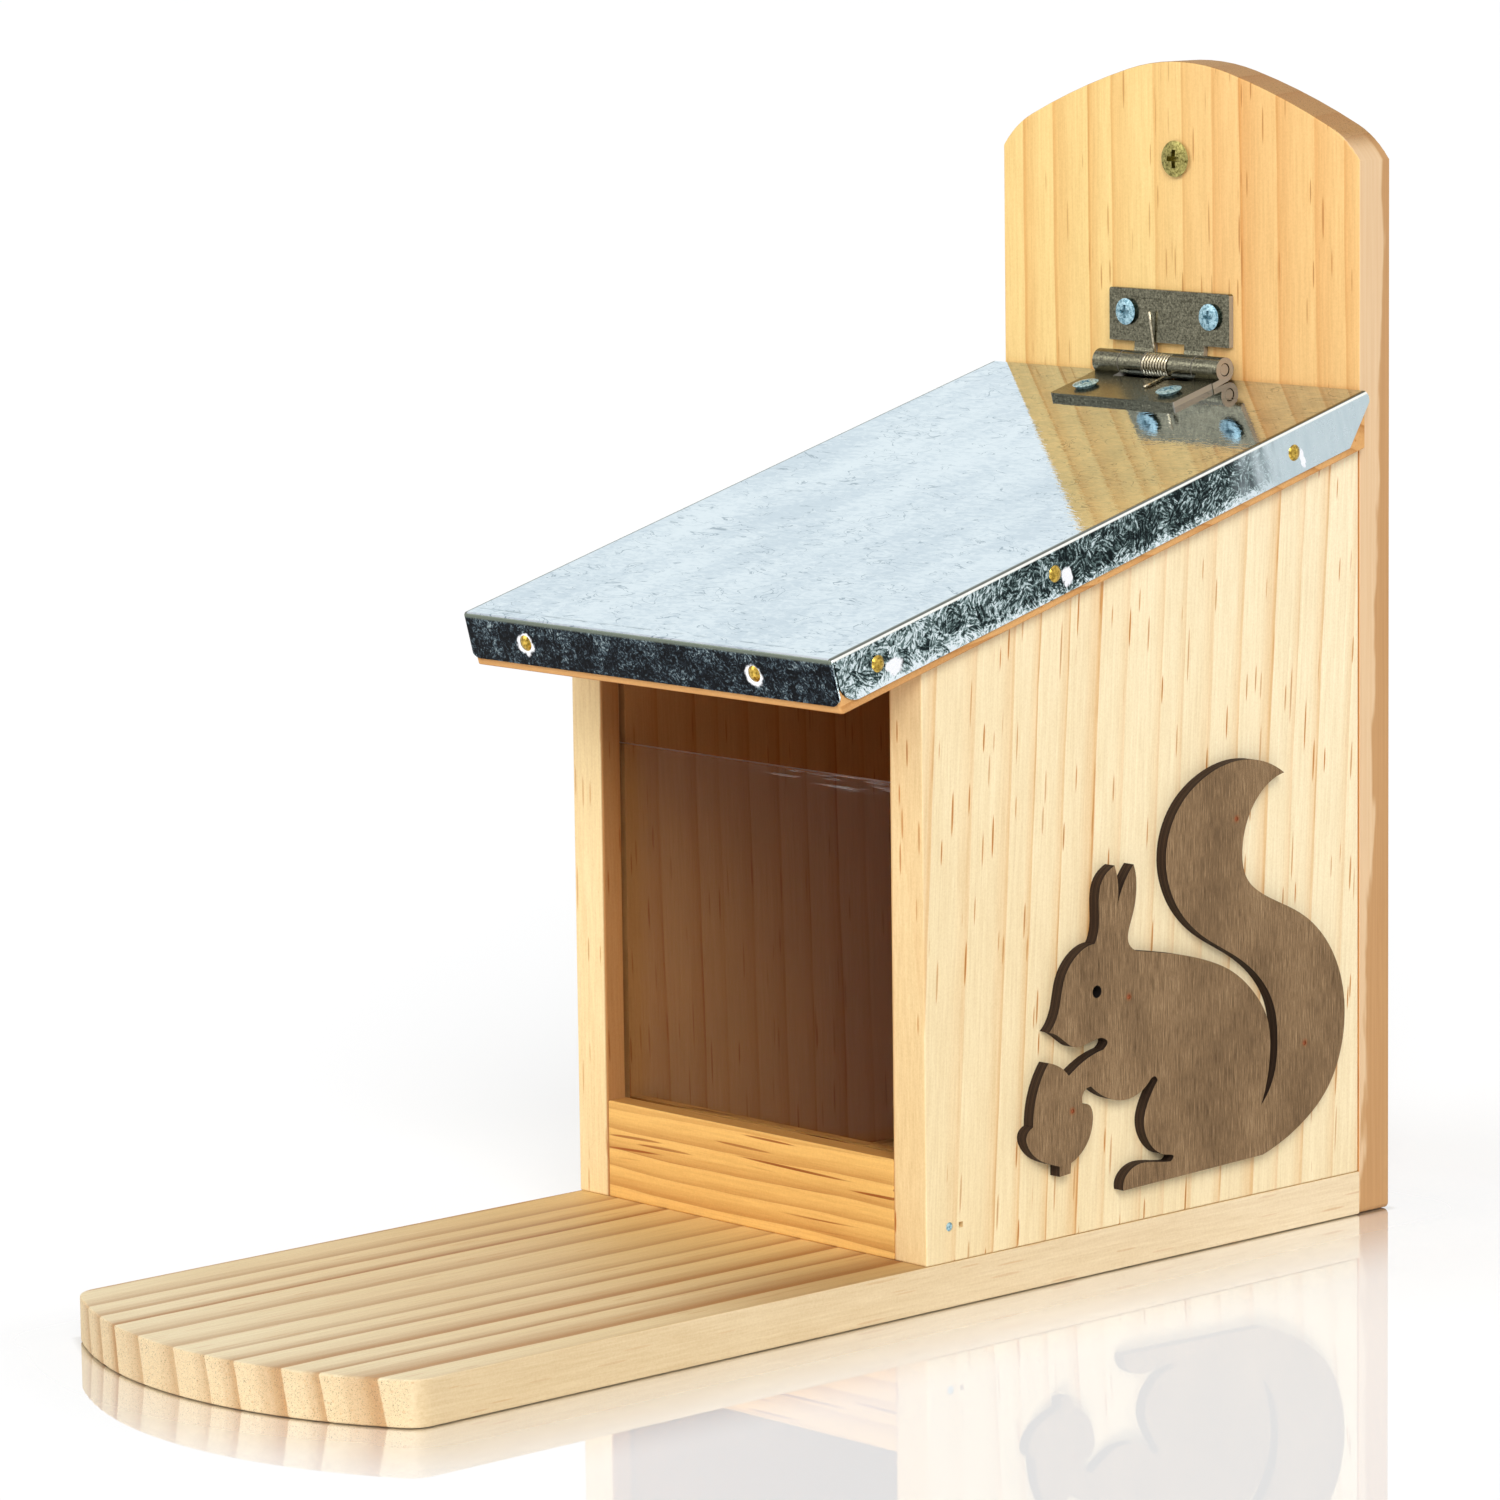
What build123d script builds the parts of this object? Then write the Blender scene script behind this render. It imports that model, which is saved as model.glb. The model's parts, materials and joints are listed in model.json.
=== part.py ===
from build123d import *

import os
from math import asin, cos, degrees, pi, radians, sin, sqrt, tan

# Squirrel feeder. A pine nut house stands on a long shelf board in front of a tall back board.
# A sheet-covered lid on a sprung hinge closes the top, and a clear pane closes most of the front.
# Millimetres, +Z up. The shelf's rounded end points to -Y and the back board stands at +Y.
# The origin is on the floor, at the middle of the overall width and of the overall depth.

os.makedirs("parts", exist_ok=True)

# Boards
board = 12.0  # thickness of the pine boards
width = 135.0  # width of the shelf board, of the house and of the back board
edge_break = 0.5  # rounding of every sawn edge
overrun = 2.0  # how far a cutting shape runs past what it cuts

# Shelf board
shelf_length = 354.0  # from the back board to the tip of the rounded end
nose_radius = 122.0  # of the rounded end
nose_corner_radius = 8.0  # where the rounded end meets the sides

# Back board
back_height = 311.9
crown_radius = 73.0  # of the top of the arch
crown_pitch = 15.0  # degrees that the arch has fallen to where its crown ends
flank_pitch = 24.5  # degrees that the arch has fallen to where its bowed flanks end
shoulder_radius = 28.3
shoulder_run = 11.0  # width of the shoulder's arc, which meets the board's side at a corner
back_foot_radius = 1.5  # of its two bottom corners

# House
house_depth = 164.3  # from the back board to the front edges of the side panels
panel_front_height = 154.5  # of a side panel's front edge, above the shelf board
panel_back_gap = 0.4  # between a side panel and the back board
rail_height = 26.4
rail_thickness = 12.0

# Clear pane and its grooves
pane_thickness = 1.8
pane_height = 100.6
pane_play = 0.2  # on each side of the pane in its grooves
pane_setback = 6.2  # from the front of the house to the front wall of the groove
panel_groove_depth = 3.5
rail_groove_depth = 4.0
pane_end_play = 0.4  # between the pane's side edges and the groove bottoms

# Lid
pitch = 15.0  # degrees that the lid falls towards the front
lid_seat_gap = 0.2  # between the lid and the tops of the side panels
lid_board = 14.4  # thickness of the lid's board
lid_overhang = 31.9  # from the side panels' front edge to the lid's front, along the slope
lid_side_overhang = 3.7  # past the outer face of each side panel
lid_back_gap = 1.5  # between the lid's bevelled back end and the back board
lid_corner_radius = 1.2  # of the board's two front corners

# Galvanised sheet on the lid
sheet = 0.6
flange_depth = 12.8  # from the top of the sheet to the lower edge of its flanges
fold_radius = 1.0  # outside radius of its folds
corner_relief = 0.3  # width of the slot between two flanges at a front corner
corner_bridge = 1.6  # how much of each front corner stays closed, below the sheet's top
front_flange_corner = 3.2  # rounding of the front flange's lower corners
side_flange_corner = 6.0  # rounding of a side flange's lower front corner
side_flange_slant = 10.6  # how far a side flange's back end leans forward
side_flange_bulge = 0.6  # how far its widest part reaches behind the end of the sheet's top
side_flange_bulge_drop = 3.2  # from the sheet's top to that widest part

# Nails of the lid
lid_nail_head_radius = 2.2
lid_nail_head_height = 0.9
lid_nail_shank_radius = 0.8
lid_nail_length = 14.0
lid_nail_drop = 6.6  # from the top of the sheet to a nail
side_nail_places = (15.0, 80.3, 173.5)  # from the lid's front, along the slope
front_nail_places = (-47.5, 41.0)  # from the middle of the lid
nail_hole_play = 0.05

# Sprung hinge, stamped from one thickness of sheet
hinge_sheet = 1.6
wall_leaf_width = 45.6
lid_leaf_width = 46.6
hinge_shift = -1.7  # of the hinge's middle from the middle of the boards
wall_axis_height = 4.3  # from the back board to the pin's axis
lid_axis_height = 3.6  # from the top of the lid to the pin's axis
pin_radius = 1.75
pin_play = 0.05
pin_recess = 0.2  # of the pin's ends in the outer knuckles
barrel_length = 47.4
lid_knuckle_length = 9.5
wall_knuckle_length = 8.6
knuckle_gap = 0.4
wall_tab_shoulder = 0.6  # how much narrower a wall knuckle's tab is on each side
wall_leaf_start = 5.7  # from the axis to the near edge of the wall leaf's plate
wall_leaf_reach = 20.3  # from the axis to its far edge
lid_leaf_start = 5.7
lid_leaf_reach = 21.8
leaf_corner_radius = 0.8
hinge_screw_spacing = 31.7
wall_screw_place = 13.8  # from the axis
lid_screw_place = 14.8

# Hinge spring
wire = 0.58  # diameter
spring_radius = 3.0  # from the axis to the middle of the wire
spring_whole_turns = 9
spring_end_play = 0.3  # between the outermost turns and the knuckles beside them
wall_leg = 14.0  # length of the leg that presses on the wall leaf
wall_leg_lean = 7.0  # degrees that this leg leans away from the back board
lid_leg_rise = 17.0  # degrees that the other leg first climbs, over the edge of the lid leaf
lid_leg_climb = 4.2  # length of that climb
lid_leg_bend = 2.5  # radius of the bend after it
lid_leg = 7.5  # length of the last stretch, along the lid leaf

# Screws of the hinge
hinge_screw_head_radius = 3.65
hinge_screw_lift = 0.9  # height of the head's rim above the leaf
hinge_screw_dome = 0.5
hinge_screw_radius = 1.5
hinge_screw_length = 12.5  # from the leaf's face to the tip

# Hanging screw
hanging_screw_drop = 26.6  # below the top of the back board
hanging_head_radius = 5.0
hanging_head_lift = 0.9
hanging_head_dome = 0.6
hanging_neck_radius = 1.8  # of the smooth neck inside the back board
hanging_thread_radius = 2.5
hanging_screw_length = 49.0  # from the front of the back board to the tip
hanging_thread_start = 1.0  # from the rear of the back board to the thread
hanging_hole_play = 0.1

# Hidden wood screws
wood_screw_head_radius = 3.4
wood_screw_sink = 0.3  # of the head under the board's surface
wood_screw_radius = 1.6
wood_screw_length = 34.0
screw_hole_play = 0.05
recess_share = 0.5  # length of a screw's cross recess, as a share of its head's diameter
recess_width_share = 0.14  # width of a wing of the cross, as a share of the head's diameter
recess_depth_share = 0.2
base_screw_places = (40.0, 125.0)  # in front of the back board
back_screw_heights = (45.0, 165.0)  # above the floor
shelf_screw_spacing = 70.0

# Nails of the front rail
rail_nail_radius = 0.8
rail_nail_head_radius = 1.15
rail_nail_length = 30.0
rail_nail_setback = 8.3  # behind the front of the house
rail_nail_rise = 9.3  # above the shelf board
nail_sink = 0.2
stray_hole = 1.5  # side of the square hole beside the right nail
stray_hole_step = 4.1  # from the nail to that hole
stray_hole_depth = 2.5

# Squirrel figure
figure_thickness = 3.5
figure_length = 124.0
figure_height = 109.5
figure_front = 134.0  # from the back board to where the figure's outline starts
figure_foot = 21.9  # above the floor
eye_radius = 1.65
brad_radius = 0.55
brad_length = 12.0

# Outline of the figure, as shares of its length and height, from its lower front corner.
# Each row is one smooth stretch, and each stretch starts where the one before it ends.
tail_outer_shares = (
    (0.81, 0.952), (0.722, 0.896), (0.681, 0.80), (0.69, 0.712), (0.75, 0.657),
    (0.869, 0.592), (0.952, 0.506), (1.0, 0.37), (0.952, 0.154), (0.869, 0.075), (0.74, 0.014),
)
foot_shares = ((0.31, 0.0), (0.311, 0.022), (0.343, 0.053), (0.395, 0.056), (0.454, 0.047))
foot_notch_shares = ((0.454, 0.047), (0.463, 0.057), (0.447, 0.065))
leg_shares = ((0.447, 0.065), (0.40, 0.09), (0.373, 0.158), (0.386, 0.205), (0.415, 0.253))
leg_slot_shares = ((0.415, 0.253), (0.409, 0.263), (0.395, 0.26))
chest_shares = ((0.395, 0.26), (0.363, 0.233), (0.32, 0.221), (0.262, 0.235), (0.213, 0.271))
wrist_shares = ((0.213, 0.271), (0.191, 0.259), (0.188, 0.232))
acorn_back_shares = ((0.188, 0.232), (0.213, 0.221), (0.217, 0.174), (0.195, 0.126), (0.153, 0.095))
acorn_cap_shares = ((0.119, 0.092), (0.075, 0.109), (0.033, 0.143), (0.021, 0.175), (0.041, 0.20))
acorn_front_shares = ((0.041, 0.20), (0.046, 0.25), (0.062, 0.302), (0.088, 0.347))
acorn_tip_shares = ((0.088, 0.347), (0.117, 0.335), (0.148, 0.307))
arm_shares = ((0.148, 0.307), (0.176, 0.326), (0.213, 0.344), (0.251, 0.354))
mouth_shares = ((0.251, 0.354), (0.264, 0.37), (0.244, 0.384))
chin_shares = ((0.244, 0.384), (0.205, 0.376), (0.165, 0.373), (0.135, 0.393), (0.09, 0.42))
head_shares = ((0.09, 0.42), (0.118, 0.465), (0.138, 0.546), (0.18, 0.598), (0.227, 0.614))
ear_front_shares = ((0.227, 0.614), (0.239, 0.65), (0.24, 0.722), (0.288, 0.794))
ear_split_front_shares = ((0.288, 0.794), (0.298, 0.745), (0.295, 0.692))
ear_split_back_shares = ((0.295, 0.692), (0.312, 0.74), (0.345, 0.789))
ear_back_shares = ((0.345, 0.789), (0.353, 0.73), (0.341, 0.666), (0.327, 0.61), (0.353, 0.578))
back_shares = (
    (0.353, 0.578), (0.454, 0.557), (0.568, 0.523), (0.651, 0.481), (0.714, 0.422),
    (0.755, 0.353), (0.765, 0.278), (0.736, 0.139),
)
tail_inner_shares = (
    (0.736, 0.139), (0.779, 0.215), (0.788, 0.294), (0.777, 0.379), (0.726, 0.463),
    (0.651, 0.524), (0.553, 0.586), (0.47, 0.68), (0.443, 0.785), (0.473, 0.891),
    (0.571, 0.975), (0.68, 0.999), (0.81, 0.952),
)
stem_shares = ((0.153, 0.095), (0.151, 0.07), (0.119, 0.067), (0.119, 0.092))
eye_shares = (0.233, 0.497)
brad_shares = ((0.661, 0.857), (0.329, 0.47), (0.158, 0.22), (0.874, 0.272))

# Values worked out from the sizes above
cos_pitch = cos(radians(pitch))
sin_pitch = sin(radians(pitch))
wall_y = (shelf_length - hanging_screw_length) / 2  # front face of the back board
house_front = wall_y - house_depth
inner_width = width - 2 * board
panel_top = board + panel_front_height  # top of a side panel's front edge
knuckle_radius = pin_radius + pin_play + hinge_sheet
lid_top = lid_seat_gap + lid_board + sheet  # above the side panels' tops, square to the slope
lid_half_width = width / 2 + lid_side_overhang
pin_y = wall_y - wall_axis_height
pin_z = panel_top + (pin_y - house_front) * tan(radians(pitch)) + (lid_top + lid_axis_height) / cos_pitch

# Radius and depth of the holes for each kind of screw
wood_pilot = (wood_screw_radius + screw_hole_play, wood_screw_length + screw_hole_play)
hinge_pilot = (hinge_screw_radius + screw_hole_play, hinge_screw_length + screw_hole_play)


def lid_point(x, along, up):
    """The place at a distance along the slope from the panels' front edge, and square up from it."""
    y = house_front + along * cos_pitch - up * sin_pitch
    return (x, y, panel_top + along * sin_pitch + up * cos_pitch)


def along_at_back(up):
    """How far along the slope the lid's bevelled back end lies, at a height above the panels' tops."""
    return (house_depth - lid_back_gap + up * sin_pitch) / cos_pitch


slope = (0, cos_pitch, sin_pitch)
slope_down = (0, -cos_pitch, -sin_pitch)
slope_normal = (0, -sin_pitch, cos_pitch)
pin_along = (pin_y - house_front + (lid_top + lid_axis_height) * sin_pitch) / cos_pitch

# Where the fasteners sit. Each plane lies on the surface, and its normal points out of the material.
side_drop = lid_top - lid_nail_drop
front_nail_planes = [
    Plane(origin=lid_point(x, -lid_overhang, side_drop), x_dir=(1, 0, 0), z_dir=slope_down)
    for x in front_nail_places
]
right_nail_planes = [
    Plane(origin=lid_point(lid_half_width, place - lid_overhang, side_drop), x_dir=slope, z_dir=(1, 0, 0))
    for place in side_nail_places
]
left_nail_planes = [
    Plane(origin=lid_point(-lid_half_width, place - lid_overhang, side_drop), x_dir=slope, z_dir=(-1, 0, 0))
    for place in side_nail_places
]
hinge_screw_places = [hinge_shift + side * hinge_screw_spacing / 2 for side in (-1, 1)]
lid_screw_planes = [
    Plane(
        origin=lid_point(x, pin_along - lid_screw_place, lid_top + hinge_sheet),
        x_dir=(1, 0, 0),
        z_dir=slope_normal,
    )
    for x in hinge_screw_places
]
wall_screw_planes = [
    Plane(
        origin=(x, wall_y - hinge_sheet, pin_z + wall_screw_place),
        x_dir=(1, 0, 0),
        z_dir=(0, -1, 0),
    )
    for x in hinge_screw_places
]
hanging_plane = Plane(
    origin=(0, wall_y, back_height - hanging_screw_drop),
    x_dir=(1, 0, 0),
    z_dir=(0, -1, 0),
)
panel_middle = width / 2 - board / 2
base_screw_planes = [
    Plane(origin=(side * panel_middle, wall_y - place, 0), x_dir=(1, 0, 0), z_dir=(0, 0, -1))
    for side in (-1, 1)
    for place in base_screw_places
]
panel_screw_planes = [
    Plane(origin=(side * panel_middle, wall_y + board, height), x_dir=(1, 0, 0), z_dir=(0, 1, 0))
    for side in (-1, 1)
    for height in back_screw_heights
]
shelf_screw_planes = [
    Plane(
        origin=(side * shelf_screw_spacing / 2, wall_y + board, board / 2),
        x_dir=(1, 0, 0),
        z_dir=(0, 1, 0),
    )
    for side in (-1, 1)
]
rail_nail_y = house_front + rail_nail_setback
rail_nail_z = board + rail_nail_rise
rail_nail_planes = [
    Plane(
        origin=(side * width / 2, rail_nail_y, rail_nail_z),
        x_dir=(0, 1, 0),
        z_dir=(side, 0, 0),
    )
    for side in (-1, 1)
]


def figure_place(share):
    """A point of the figure, from its share of the figure's length and height."""
    along, up = share
    return (wall_y - figure_front + along * figure_length, figure_foot + up * figure_height)


brad_planes = [
    Plane(
        origin=(width / 2 + figure_thickness, *figure_place(share)),
        x_dir=(0, 1, 0),
        z_dir=(1, 0, 0),
    )
    for share in brad_shares
]


def pilot_holes(planes, radius, depth):
    """Round holes in the part being built, down from each plane."""
    with Locations(*planes):
        Hole(radius=radius, depth=depth)


def dome_middle(radius, foot, height):
    """A point halfway out on a round dome that stands on a foot at the given height."""
    ball = (radius**2 + height**2) / (2 * height)
    return (radius / 2, foot + height - ball + sqrt(ball**2 - radius**2 / 4))


def countersunk_screw(head_radius, lift, dome, radius, length, neck=None):
    """A cross-headed screw on the Z axis. Its rim is above the origin by lift, and its point is down.

    A neck is a pair: the radius of the smooth stretch under the head, and how deep it reaches.
    """
    point = 2 * radius
    top = lift + dome
    side = [(0, -length), (radius, -length + point)]
    if neck:
        neck_radius, neck_depth = neck
        side += [(radius, -neck_depth), (neck_radius, -neck_depth)]
    else:
        neck_radius = radius
    side += [(neck_radius, lift - head_radius + neck_radius), (head_radius, lift)]
    with BuildPart() as screw:
        with BuildSketch(Plane.XZ):
            with BuildLine():
                Line((0, top), (0, -length))
                Polyline(*side)
                if dome:
                    ThreePointArc((head_radius, lift), dome_middle(head_radius, lift, dome), (0, top))
                else:
                    Line((head_radius, lift), (0, top))
            make_face()
        revolve(axis=Axis.Z)
        wing = 2 * head_radius * recess_share
        wing_width = 2 * head_radius * recess_width_share
        depth = 2 * head_radius * recess_depth_share
        with Locations((0, 0, top)):
            low = (Align.CENTER, Align.CENTER, Align.MAX)
            Box(wing, wing_width, depth, align=low, mode=Mode.SUBTRACT)
            Box(wing_width, wing, depth, align=low, mode=Mode.SUBTRACT)
    return screw.part


def round_nail(head_radius, head_height, radius, length):
    """A round-headed nail on the Z axis, with the underside of its head at the origin."""
    top = (0, head_height)
    rim = (head_radius, 0)
    with BuildPart() as nail:
        with BuildSketch(Plane.XZ):
            with BuildLine():
                Polyline(top, (0, -length), (radius, -length + 2 * radius), (radius, 0), rim)
                ThreePointArc(rim, dome_middle(head_radius, 0, head_height), top)
            make_face()
        revolve(axis=Axis.Z)
    return nail.part


def flush_nail(head_radius, radius, length):
    """A flat-headed nail on the Z axis, sunk a little under the origin's plane."""
    with BuildPart() as nail:
        with BuildSketch(Plane.XY.offset(-nail_sink)):
            Circle(head_radius)
        extrude(amount=-head_radius)
        with BuildSketch(Plane.XY.offset(-nail_sink - head_radius)):
            Circle(radius)
        extrude(amount=-(length - head_radius - nail_sink))
    return nail.part


def nail_holes(planes, head_radius, radius, length):
    """Holes for flush nails in the part being built."""
    pilot_holes(planes, head_radius + nail_hole_play, nail_sink + head_radius)
    pilot_holes(planes, radius + nail_hole_play, length + nail_hole_play)


def sunk_screw_holes(planes):
    """Countersunk holes for the hidden wood screws, in the part being built."""
    with Locations(*planes):
        CounterSinkHole(
            radius=wood_screw_radius + screw_hole_play,
            counter_sink_radius=wood_screw_head_radius + wood_screw_sink + screw_hole_play,
            depth=wood_screw_length + screw_hole_play,
            counter_sink_angle=90,
        )


# Shelf board, under the house and out in front of it
nose_rise = nose_radius - sqrt(nose_radius**2 - (width / 2) ** 2)
with BuildPart() as base_board:
    with BuildSketch():
        with BuildLine():
            Polyline(
                (-width / 2, wall_y - shelf_length + nose_rise),
                (-width / 2, wall_y),
                (width / 2, wall_y),
                (width / 2, wall_y - shelf_length + nose_rise),
            )
            ThreePointArc(
                (width / 2, wall_y - shelf_length + nose_rise),
                (0, wall_y - shelf_length),
                (-width / 2, wall_y - shelf_length + nose_rise),
            )
        make_face()
    extrude(amount=board)
    corners = base_board.edges().filter_by(Axis.Z).group_by(Axis.Y)[0]
    fillet(corners, radius=nose_corner_radius)
    fillet(base_board.edges().group_by(Axis.Z)[-1], radius=edge_break)
    fillet(base_board.edges().group_by(Axis.Z)[0], radius=edge_break)
    sunk_screw_holes(base_screw_planes)
    pilot_holes(shelf_screw_planes, *wood_pilot)

# Back board, with its arched top
def arch_way(angle):
    """The direction that is angle degrees from straight up, towards +X."""
    return Vector(sin(radians(angle)), cos(radians(angle)))


flank_run = width / 2 - shoulder_run - crown_radius * sin(radians(crown_pitch))
flank_radius = flank_run / (sin(radians(flank_pitch)) - sin(radians(crown_pitch)))
crown_centre = Vector(0, back_height - crown_radius)
flank_centre = crown_centre + arch_way(crown_pitch) * (crown_radius - flank_radius)
shoulder_centre = flank_centre + arch_way(flank_pitch) * (flank_radius - shoulder_radius)
shoulder_pitch = degrees(asin((width / 2 - shoulder_centre.X) / shoulder_radius))
shoulder_end = shoulder_centre + arch_way(shoulder_pitch) * shoulder_radius


def arch_arc(side, centre, radius, first, last):
    """An arc between two falls in degrees, on the right for a side of 1 and on the left for -1."""
    centre = Vector(side * centre.X, centre.Y)
    falls = (first, (first + last) / 2, last)
    ThreePointArc(*[centre + arch_way(side * fall) * radius for fall in falls])


with BuildPart() as back_board:
    with BuildSketch(Plane.XZ.offset(-wall_y - board)) as arch:
        with BuildLine():
            Polyline(
                (-shoulder_end.X, shoulder_end.Y),
                (-width / 2, 0),
                (width / 2, 0),
                (shoulder_end.X, shoulder_end.Y),
            )
            for side in (-1, 1):
                arch_arc(side, shoulder_centre, shoulder_radius, flank_pitch, shoulder_pitch)
                arch_arc(side, flank_centre, flank_radius, crown_pitch, flank_pitch)
            arch_arc(1, crown_centre, crown_radius, -crown_pitch, crown_pitch)
        make_face()
        fillet(arch.vertices().group_by(Axis.Y)[0], radius=back_foot_radius)
    extrude(amount=board)
    fillet(back_board.edges().group_by(Axis.Y)[-1], radius=edge_break)
    fillet(back_board.edges().group_by(Axis.Y)[0], radius=edge_break)
    with Locations(hanging_plane):
        CounterSinkHole(
            radius=hanging_thread_radius + hanging_hole_play,
            counter_sink_radius=hanging_head_radius - hanging_head_lift + hanging_hole_play,
            depth=board + overrun,
            counter_sink_angle=90,
        )
    pilot_holes(wall_screw_planes, *hinge_pilot)
    sunk_screw_holes(panel_screw_planes)
    sunk_screw_holes(shelf_screw_planes)

# The groove that the pane stands in, which runs down both side panels and along the rail
groove_width = pane_thickness + 2 * pane_play
groove_middle = house_front + pane_setback + groove_width / 2


def plain_panel(side):
    """A side panel with its sloped top, the pane's groove and the screw holes. Side is -1 or 1."""
    panel_back = wall_y - panel_back_gap
    rise = (panel_back - house_front) * tan(radians(pitch))
    groove_x = side * (inner_width / 2 + panel_groove_depth / 2 - overrun / 2)
    with BuildPart() as panel:
        with BuildSketch(Plane.YZ.offset(side * panel_middle)):
            with BuildLine():
                Polyline(
                    (house_front, board),
                    (panel_back, board),
                    (panel_back, panel_top + rise),
                    (house_front, panel_top),
                    close=True,
                )
            make_face()
        extrude(amount=board / 2, both=True)
        fillet(panel.edges(), radius=edge_break)
        with BuildSketch(Plane.XY.offset(board - overrun)):
            with Locations((groove_x, groove_middle)):
                Rectangle(panel_groove_depth + overrun, groove_width)
        extrude(amount=panel_top + rise, mode=Mode.SUBTRACT)
        pilot_holes(base_screw_planes, *wood_pilot)
        pilot_holes(panel_screw_planes, *wood_pilot)
        nail_holes(rail_nail_planes, rail_nail_head_radius, rail_nail_radius, rail_nail_length)
    return panel.part


with BuildPart() as left_panel:
    add(plain_panel(-1))

with BuildPart() as right_panel:
    add(plain_panel(1))
    pilot_holes(brad_planes, brad_radius + nail_hole_play, brad_length + nail_hole_play)
    with BuildSketch(Plane.YZ.offset(width / 2)):
        with Locations((rail_nail_y + stray_hole_step, rail_nail_z)):
            Rectangle(stray_hole, stray_hole)
    extrude(amount=-stray_hole_depth, mode=Mode.SUBTRACT)

# Front rail, between the side panels, with a groove for the pane's lower edge
with BuildPart() as front_rail:
    with BuildSketch(Plane.XY.offset(board)):
        with Locations((0, house_front + rail_thickness / 2)):
            Rectangle(inner_width, rail_thickness)
    extrude(amount=rail_height)
    fillet(front_rail.edges(), radius=edge_break)
    with BuildSketch(Plane.XY.offset(board + rail_height)):
        with Locations((0, groove_middle)):
            Rectangle(inner_width, groove_width)
    extrude(amount=-rail_groove_depth, mode=Mode.SUBTRACT)
    pilot_holes(rail_nail_planes, rail_nail_radius + nail_hole_play, rail_nail_length + nail_hole_play)

# Clear pane
pane_foot = board + rail_height - rail_groove_depth
with BuildPart() as window_pane:
    with BuildSketch(Plane.XY.offset(pane_foot)):
        with Locations((0, groove_middle)):
            Rectangle(inner_width + 2 * (panel_groove_depth - pane_end_play), pane_thickness)
    extrude(amount=pane_height)
    fillet(window_pane.edges().filter_by(Axis.Y), radius=edge_break)

# Lid board
lid_side_plane = Plane(origin=lid_point(0, 0, 0), x_dir=slope, z_dir=(1, 0, 0))
board_top = lid_seat_gap + lid_board
board_half_width = lid_half_width - sheet
with BuildPart() as roof_board:
    with BuildSketch(lid_side_plane):
        with BuildLine():
            Polyline(
                (-lid_overhang + sheet, lid_seat_gap),
                (along_at_back(lid_seat_gap), lid_seat_gap),
                (along_at_back(board_top), board_top),
                (-lid_overhang + sheet, board_top),
                close=True,
            )
        make_face()
    extrude(amount=board_half_width, both=True)
    front_corners = roof_board.edges().filter_by(Axis((0, 0, 0), slope_normal)).group_by(Axis.Y)[0]
    fillet(front_corners, radius=lid_corner_radius)
    underside = roof_board.faces().sort_by(Axis(lid_point(0, 0, 0), slope_normal))[0]
    fillet(underside.edges(), radius=edge_break)
    all_lid_nail_planes = front_nail_planes + right_nail_planes + left_nail_planes
    nail_depth = lid_nail_length + nail_hole_play
    pilot_holes(all_lid_nail_planes, lid_nail_shank_radius + nail_hole_play, nail_depth)
    pilot_holes(lid_screw_planes, *hinge_pilot)

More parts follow.
